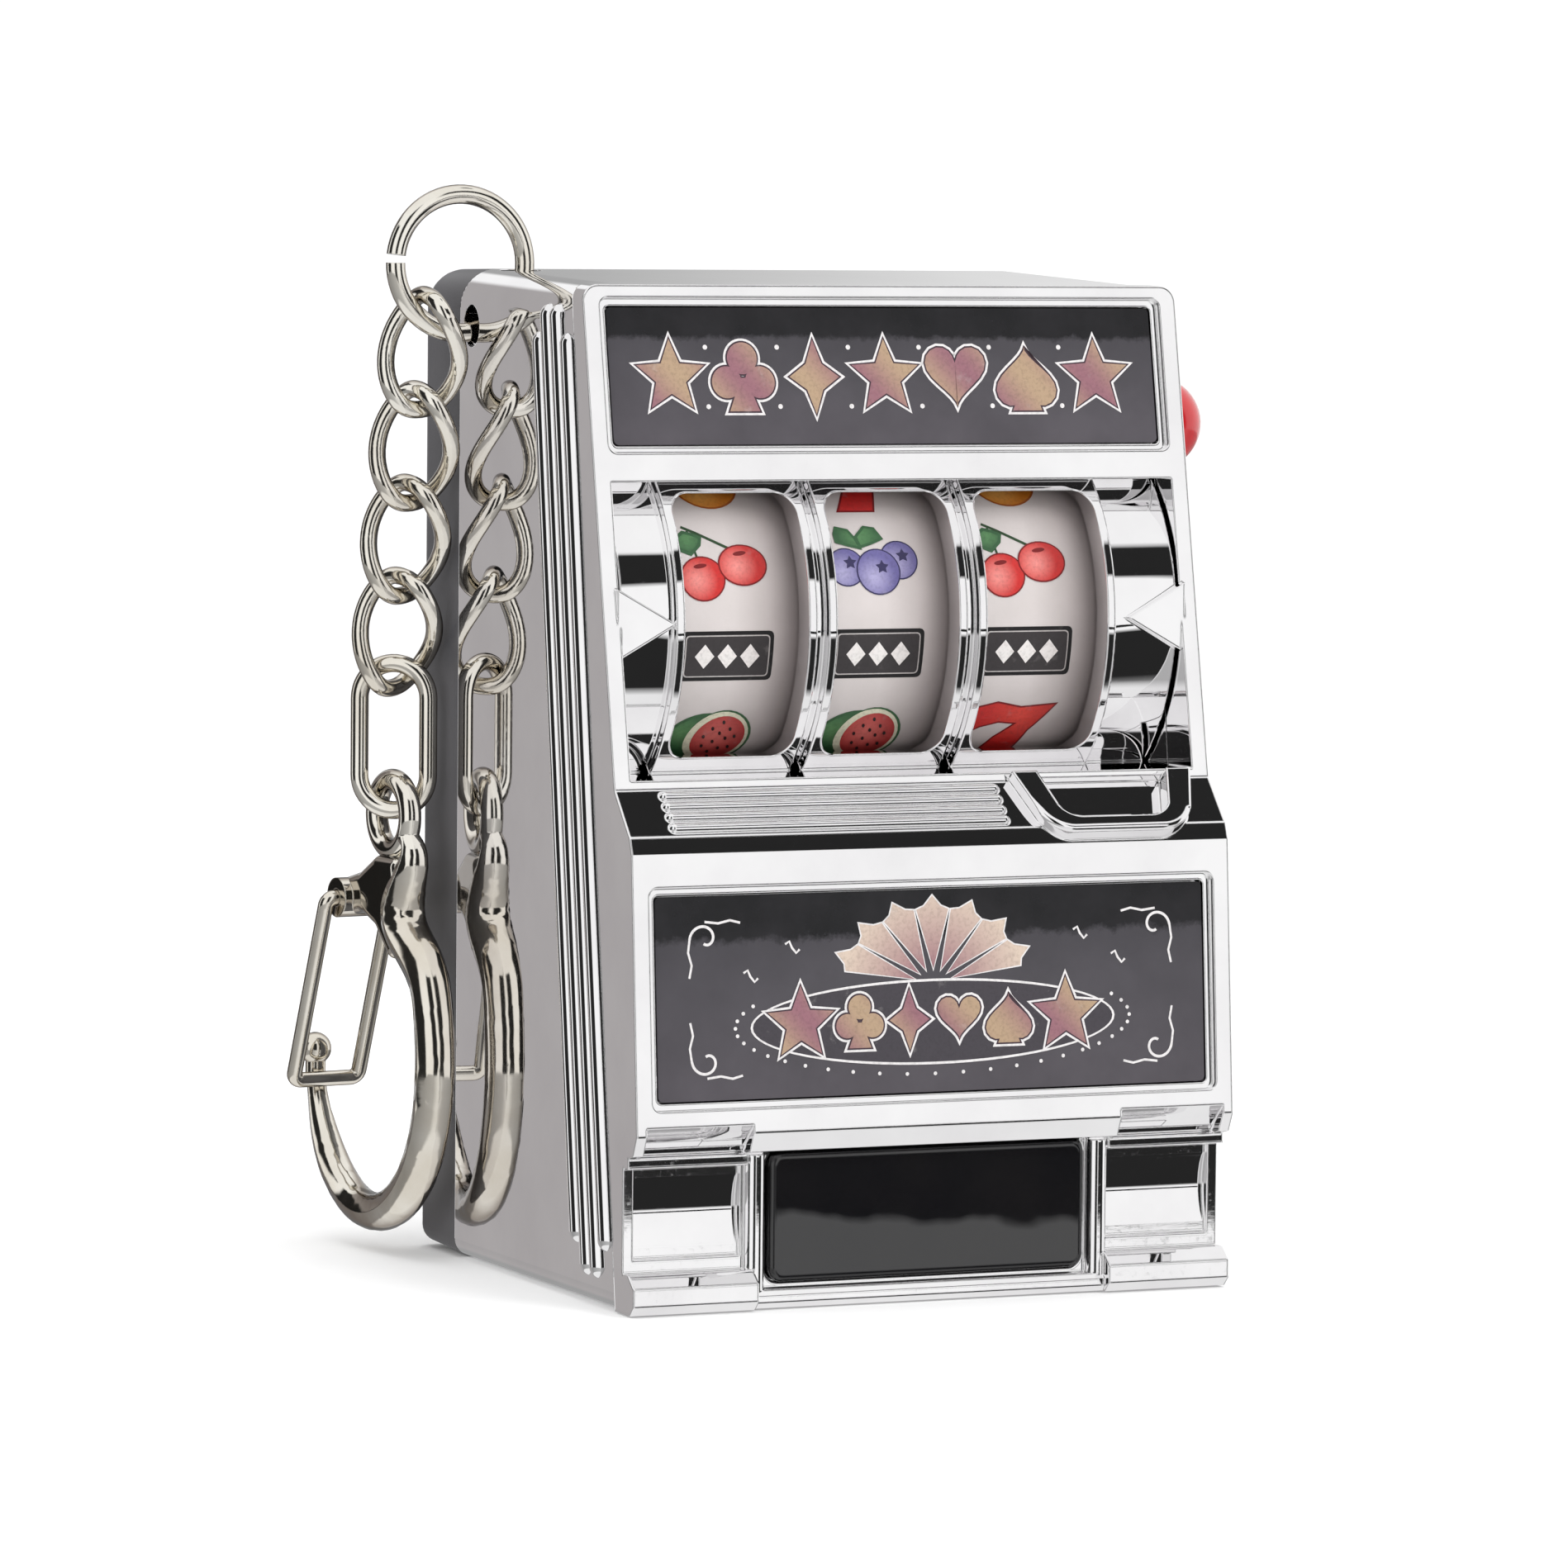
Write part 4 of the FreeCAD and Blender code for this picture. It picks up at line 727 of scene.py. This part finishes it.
for right in (-1, 1):
    for top in (-1, 1):
        belly_art.layer = 0
        draw_scroll(belly_art, right, top)
for across, height in ((-11.0, 1.1), (-8.5, 2.6), (8.9, 2.9), (11.2, 1.5)):
    belly_art.layer = 0
    wave = [(across - 0.35, height + 0.2), (across - 0.1, height + 0.35), (across + 0.05, height),
            (across + 0.3, height - 0.3), (across + 0.5, height - 0.1)]
    belly_art.stroke(wave, 0.13, OUTLINE)
belly_art.piece("belly_art", "case", label_ink, "printed_panel")


# ---------------------------------------------------------------- studio: floor and backdrop

def pale_card():
    material, graph = new_material("pale_card")
    cloud = graph.noise(graph.place(), 3.0, 3.0)
    close(graph, {"Base Color": graph.mix(cloud, grey(0.93), grey(0.96)), "Roughness": 0.9})
    return material


VIEW_DEG = 23.9
FLOOR_NEAR = -1.2
FLOOR_FAR = 0.55
BEND_RADIUS = 0.35
BEND_STEPS = 8
WALL_TOP = 1.6
HALF_WIDE = 1.5
FLOOR_GAP = 0.0001


def add_backdrop():
    """A floor that bends up into a wall behind the object, square to the camera."""
    profile = [(FLOOR_NEAR, 0.0), (FLOOR_FAR, 0.0)]
    for step in range(1, BEND_STEPS + 1):
        bend = math.radians(90 * step / BEND_STEPS)
        profile.append((FLOOR_FAR + BEND_RADIUS * math.sin(bend), BEND_RADIUS - BEND_RADIUS * math.cos(bend)))
    profile.append((FLOOR_FAR + BEND_RADIUS, WALL_TOP))
    away = Vector((math.sin(math.radians(VIEW_DEG)), math.cos(math.radians(VIEW_DEG)), 0))
    sideways = Vector((away.y, -away.x, 0))
    points = [tuple(away * distance + sideways * side + Vector((0, 0, height - FLOOR_GAP)))
              for distance, height in profile for side in (-HALF_WIDE, HALF_WIDE)]
    faces = [(2 * row, 2 * row + 1, 2 * row + 3, 2 * row + 2) for row in range(len(profile) - 1)]
    mesh = bpy.data.meshes.new("backdrop")
    mesh.from_pydata(points, [], faces)
    for face in mesh.polygons:
        face.use_smooth = True
    mesh.materials.append(pale_card())
    backdrop = bpy.data.objects.new("backdrop", mesh)
    bpy.context.scene.collection.objects.link(backdrop)
    backdrop.visible_glossy = False


add_backdrop()


# ---------------------------------------------------------------- studio: what the plating mirrors

world = bpy.data.worlds.new("studio")
bpy.context.scene.world = world
world.use_nodes = True
sky = Graph(world.node_tree)
direction = sky.add("ShaderNodeTexCoord").outputs["Generated"]
parts = sky.add("ShaderNodeSeparateXYZ", {"Vector": direction}).outputs
height = parts["Z"]
turned = sky.math("DIVIDE", sky.math("ARCTAN2", parts["Y"], parts["X"]), 2 * math.pi)
around = sky.math("FRACT", sky.math("ADD", turned, 1.0))


def turns(degrees):
    return degrees / 360.0


def compass_ramp(stops):
    """A tone for each compass angle, in degrees from +x towards +y."""
    return sky.ramp(around, [(turns(angle), tint) for angle, tint in stops])


def between(value, low, high, soft):
    """1 where a value lies between two limits, fading over a short run at each."""
    rising = sky.remap(value, low - soft, low + soft, 0.0, 1.0)
    falling = sky.remap(value, high - soft, high + soft, 1.0, 0.0)
    return sky.math("MULTIPLY", rising, falling)


# Around the horizon: white cards with dark gaps between them.
WHITE_CARD = grey(1.0)
DARK_GAP = grey(0.02)
SIDE_CARD = (0.42, 0.40, 0.40)
horizon = compass_ramp([
    (0, WHITE_CARD), (55, WHITE_CARD), (64, grey(0.8)), (68, grey(0.4)), (76, grey(0.4)), (80, WHITE_CARD),
    (92, WHITE_CARD), (97, SIDE_CARD), (117, SIDE_CARD), (121, DARK_GAP), (136, DARK_GAP),
    (140, WHITE_CARD), (150, WHITE_CARD), (155, DARK_GAP), (192, DARK_GAP), (197, WHITE_CARD),
    (234, WHITE_CARD), (239, DARK_GAP), (261, DARK_GAP), (265, WHITE_CARD), (302, WHITE_CARD),
    (305, DARK_GAP), (328, DARK_GAP), (332, WHITE_CARD)])

# Low in front: the far edge of the table, a dark line with an uneven rim.
ripple = sky.math("SUBTRACT", sky.noise(direction, 55.0, 3.0), 0.5)
uneven = sky.math("ADD", height, sky.math("MULTIPLY", ripple, 0.010))
in_front = between(around, turns(270), turns(318), turns(2))
table_edge = sky.math("MULTIPLY", in_front, between(uneven, -0.1302, -0.108, 0.0006))
horizon = sky.mix(table_edge, horizon, DARK_GAP)

# Above: a dark beam in front, a white ceiling and one dark opening that the sloping deck mirrors.
ahead = between(around, turns(283), turns(309), turns(2))
beam = sky.math("MULTIPLY", ahead, between(height, 0.36, 0.62, 0.015))
ceiling = sky.remap(height, 0.60, 0.64, 0.0, 1.0)
OPENING = Vector((0.403, -0.171, 0.899)).normalized()
toward = sky.add("ShaderNodeVectorMath", {0: direction, 1: tuple(OPENING)}, operation="DOT_PRODUCT")
opening = sky.remap(toward.outputs["Value"], 0.9945, 0.9965, 0.0, 1.0)
overhead = sky.mix(opening, grey(0.97), DARK_GAP)
upper = sky.mix(ceiling, sky.mix(beam, horizon, DARK_GAP), overhead)

# Below: a dark step in front, dim sides and the pale table further down.
under = compass_ramp([
    (0, grey(0.35)), (90, grey(0.35)), (100, SIDE_CARD), (150, grey(0.3)), (240, grey(0.5)),
    (262, grey(0.8)), (281, grey(0.8)), (285, DARK_GAP), (303, DARK_GAP), (307, grey(0.8)),
    (330, grey(0.8)), (345, grey(0.4))])
table = sky.remap(height, -0.66, -0.60, 1.0, 0.0)
lower = sky.mix(table, under, grey(0.86))
mirrored = sky.mix(sky.remap(height, -0.18, -0.15, 1.0, 0.0), upper, lower)

# Mirror-like surfaces see the pattern; the camera and soft light see a plain pale room.
ray = sky.add("ShaderNodeLightPath").outputs
plain = sky.mix(ray["Is Camera Ray"], grey(0.95), grey(1.0))
seen = sky.mix(ray["Is Glossy Ray"], plain, mirrored)
glow = sky.add("ShaderNodeBackground", {"Color": seen, "Strength": 1.0})
sky.add("ShaderNodeOutputWorld", {"Surface": glow.outputs[0]})


# ---------------------------------------------------------------- studio: lights

def soft_light(name, place, size, power):
    """A square soft light of the given size, aimed at the middle of the object."""
    data = bpy.data.lights.new(name, "AREA")
    data.shape = "RECTANGLE"
    data.size = size
    data.size_y = size
    data.energy = power
    lamp = bpy.data.objects.new(name, data)
    bpy.context.scene.collection.objects.link(lamp)
    lamp.location = place
    lamp.rotation_mode = "QUATERNION"
    aim = (cad_low + cad_high) / 2 - Vector(place)
    lamp.rotation_quaternion = aim.to_track_quat("-Z", "Y")
    lamp.visible_glossy = False


soft_light("key", (0.25, -0.45, 0.40), 0.30, 1.6)
soft_light("fill", (-0.50, -0.25, 0.25), 0.30, 0.9)
soft_light("over", (0.0, 0.05, 0.60), 0.40, 1.2)


# ---------------------------------------------------------------- camera

LENS_MM = 181.86
SENSOR_MM = 36.0
ROLL_DEG = 0.541
CAMERA_PLACE = Vector((-0.182425, -0.407371, 0.061276))
LOOK = Vector((0.40326, 0.91195, -0.07573)).normalized()

lens = bpy.data.cameras.new("camera")
lens.lens = LENS_MM
lens.sensor_width = SENSOR_MM
lens.clip_start = 0.02
lens.clip_end = 20.0
camera = bpy.data.objects.new("camera", lens)
bpy.context.scene.collection.objects.link(camera)
level = LOOK.cross(Vector((0, 0, 1))).normalized()
rise = level.cross(LOOK)
roll = math.radians(ROLL_DEG)
axis_x = level * math.cos(roll) + rise * math.sin(roll)
axis_y = -level * math.sin(roll) + rise * math.cos(roll)
facing = Matrix((axis_x, axis_y, -LOOK)).transposed().to_4x4()
camera.matrix_world = Matrix.Translation(CAMERA_PLACE) @ facing
bpy.context.scene.camera = camera
bpy.context.scene.view_settings.view_transform = "Standard"
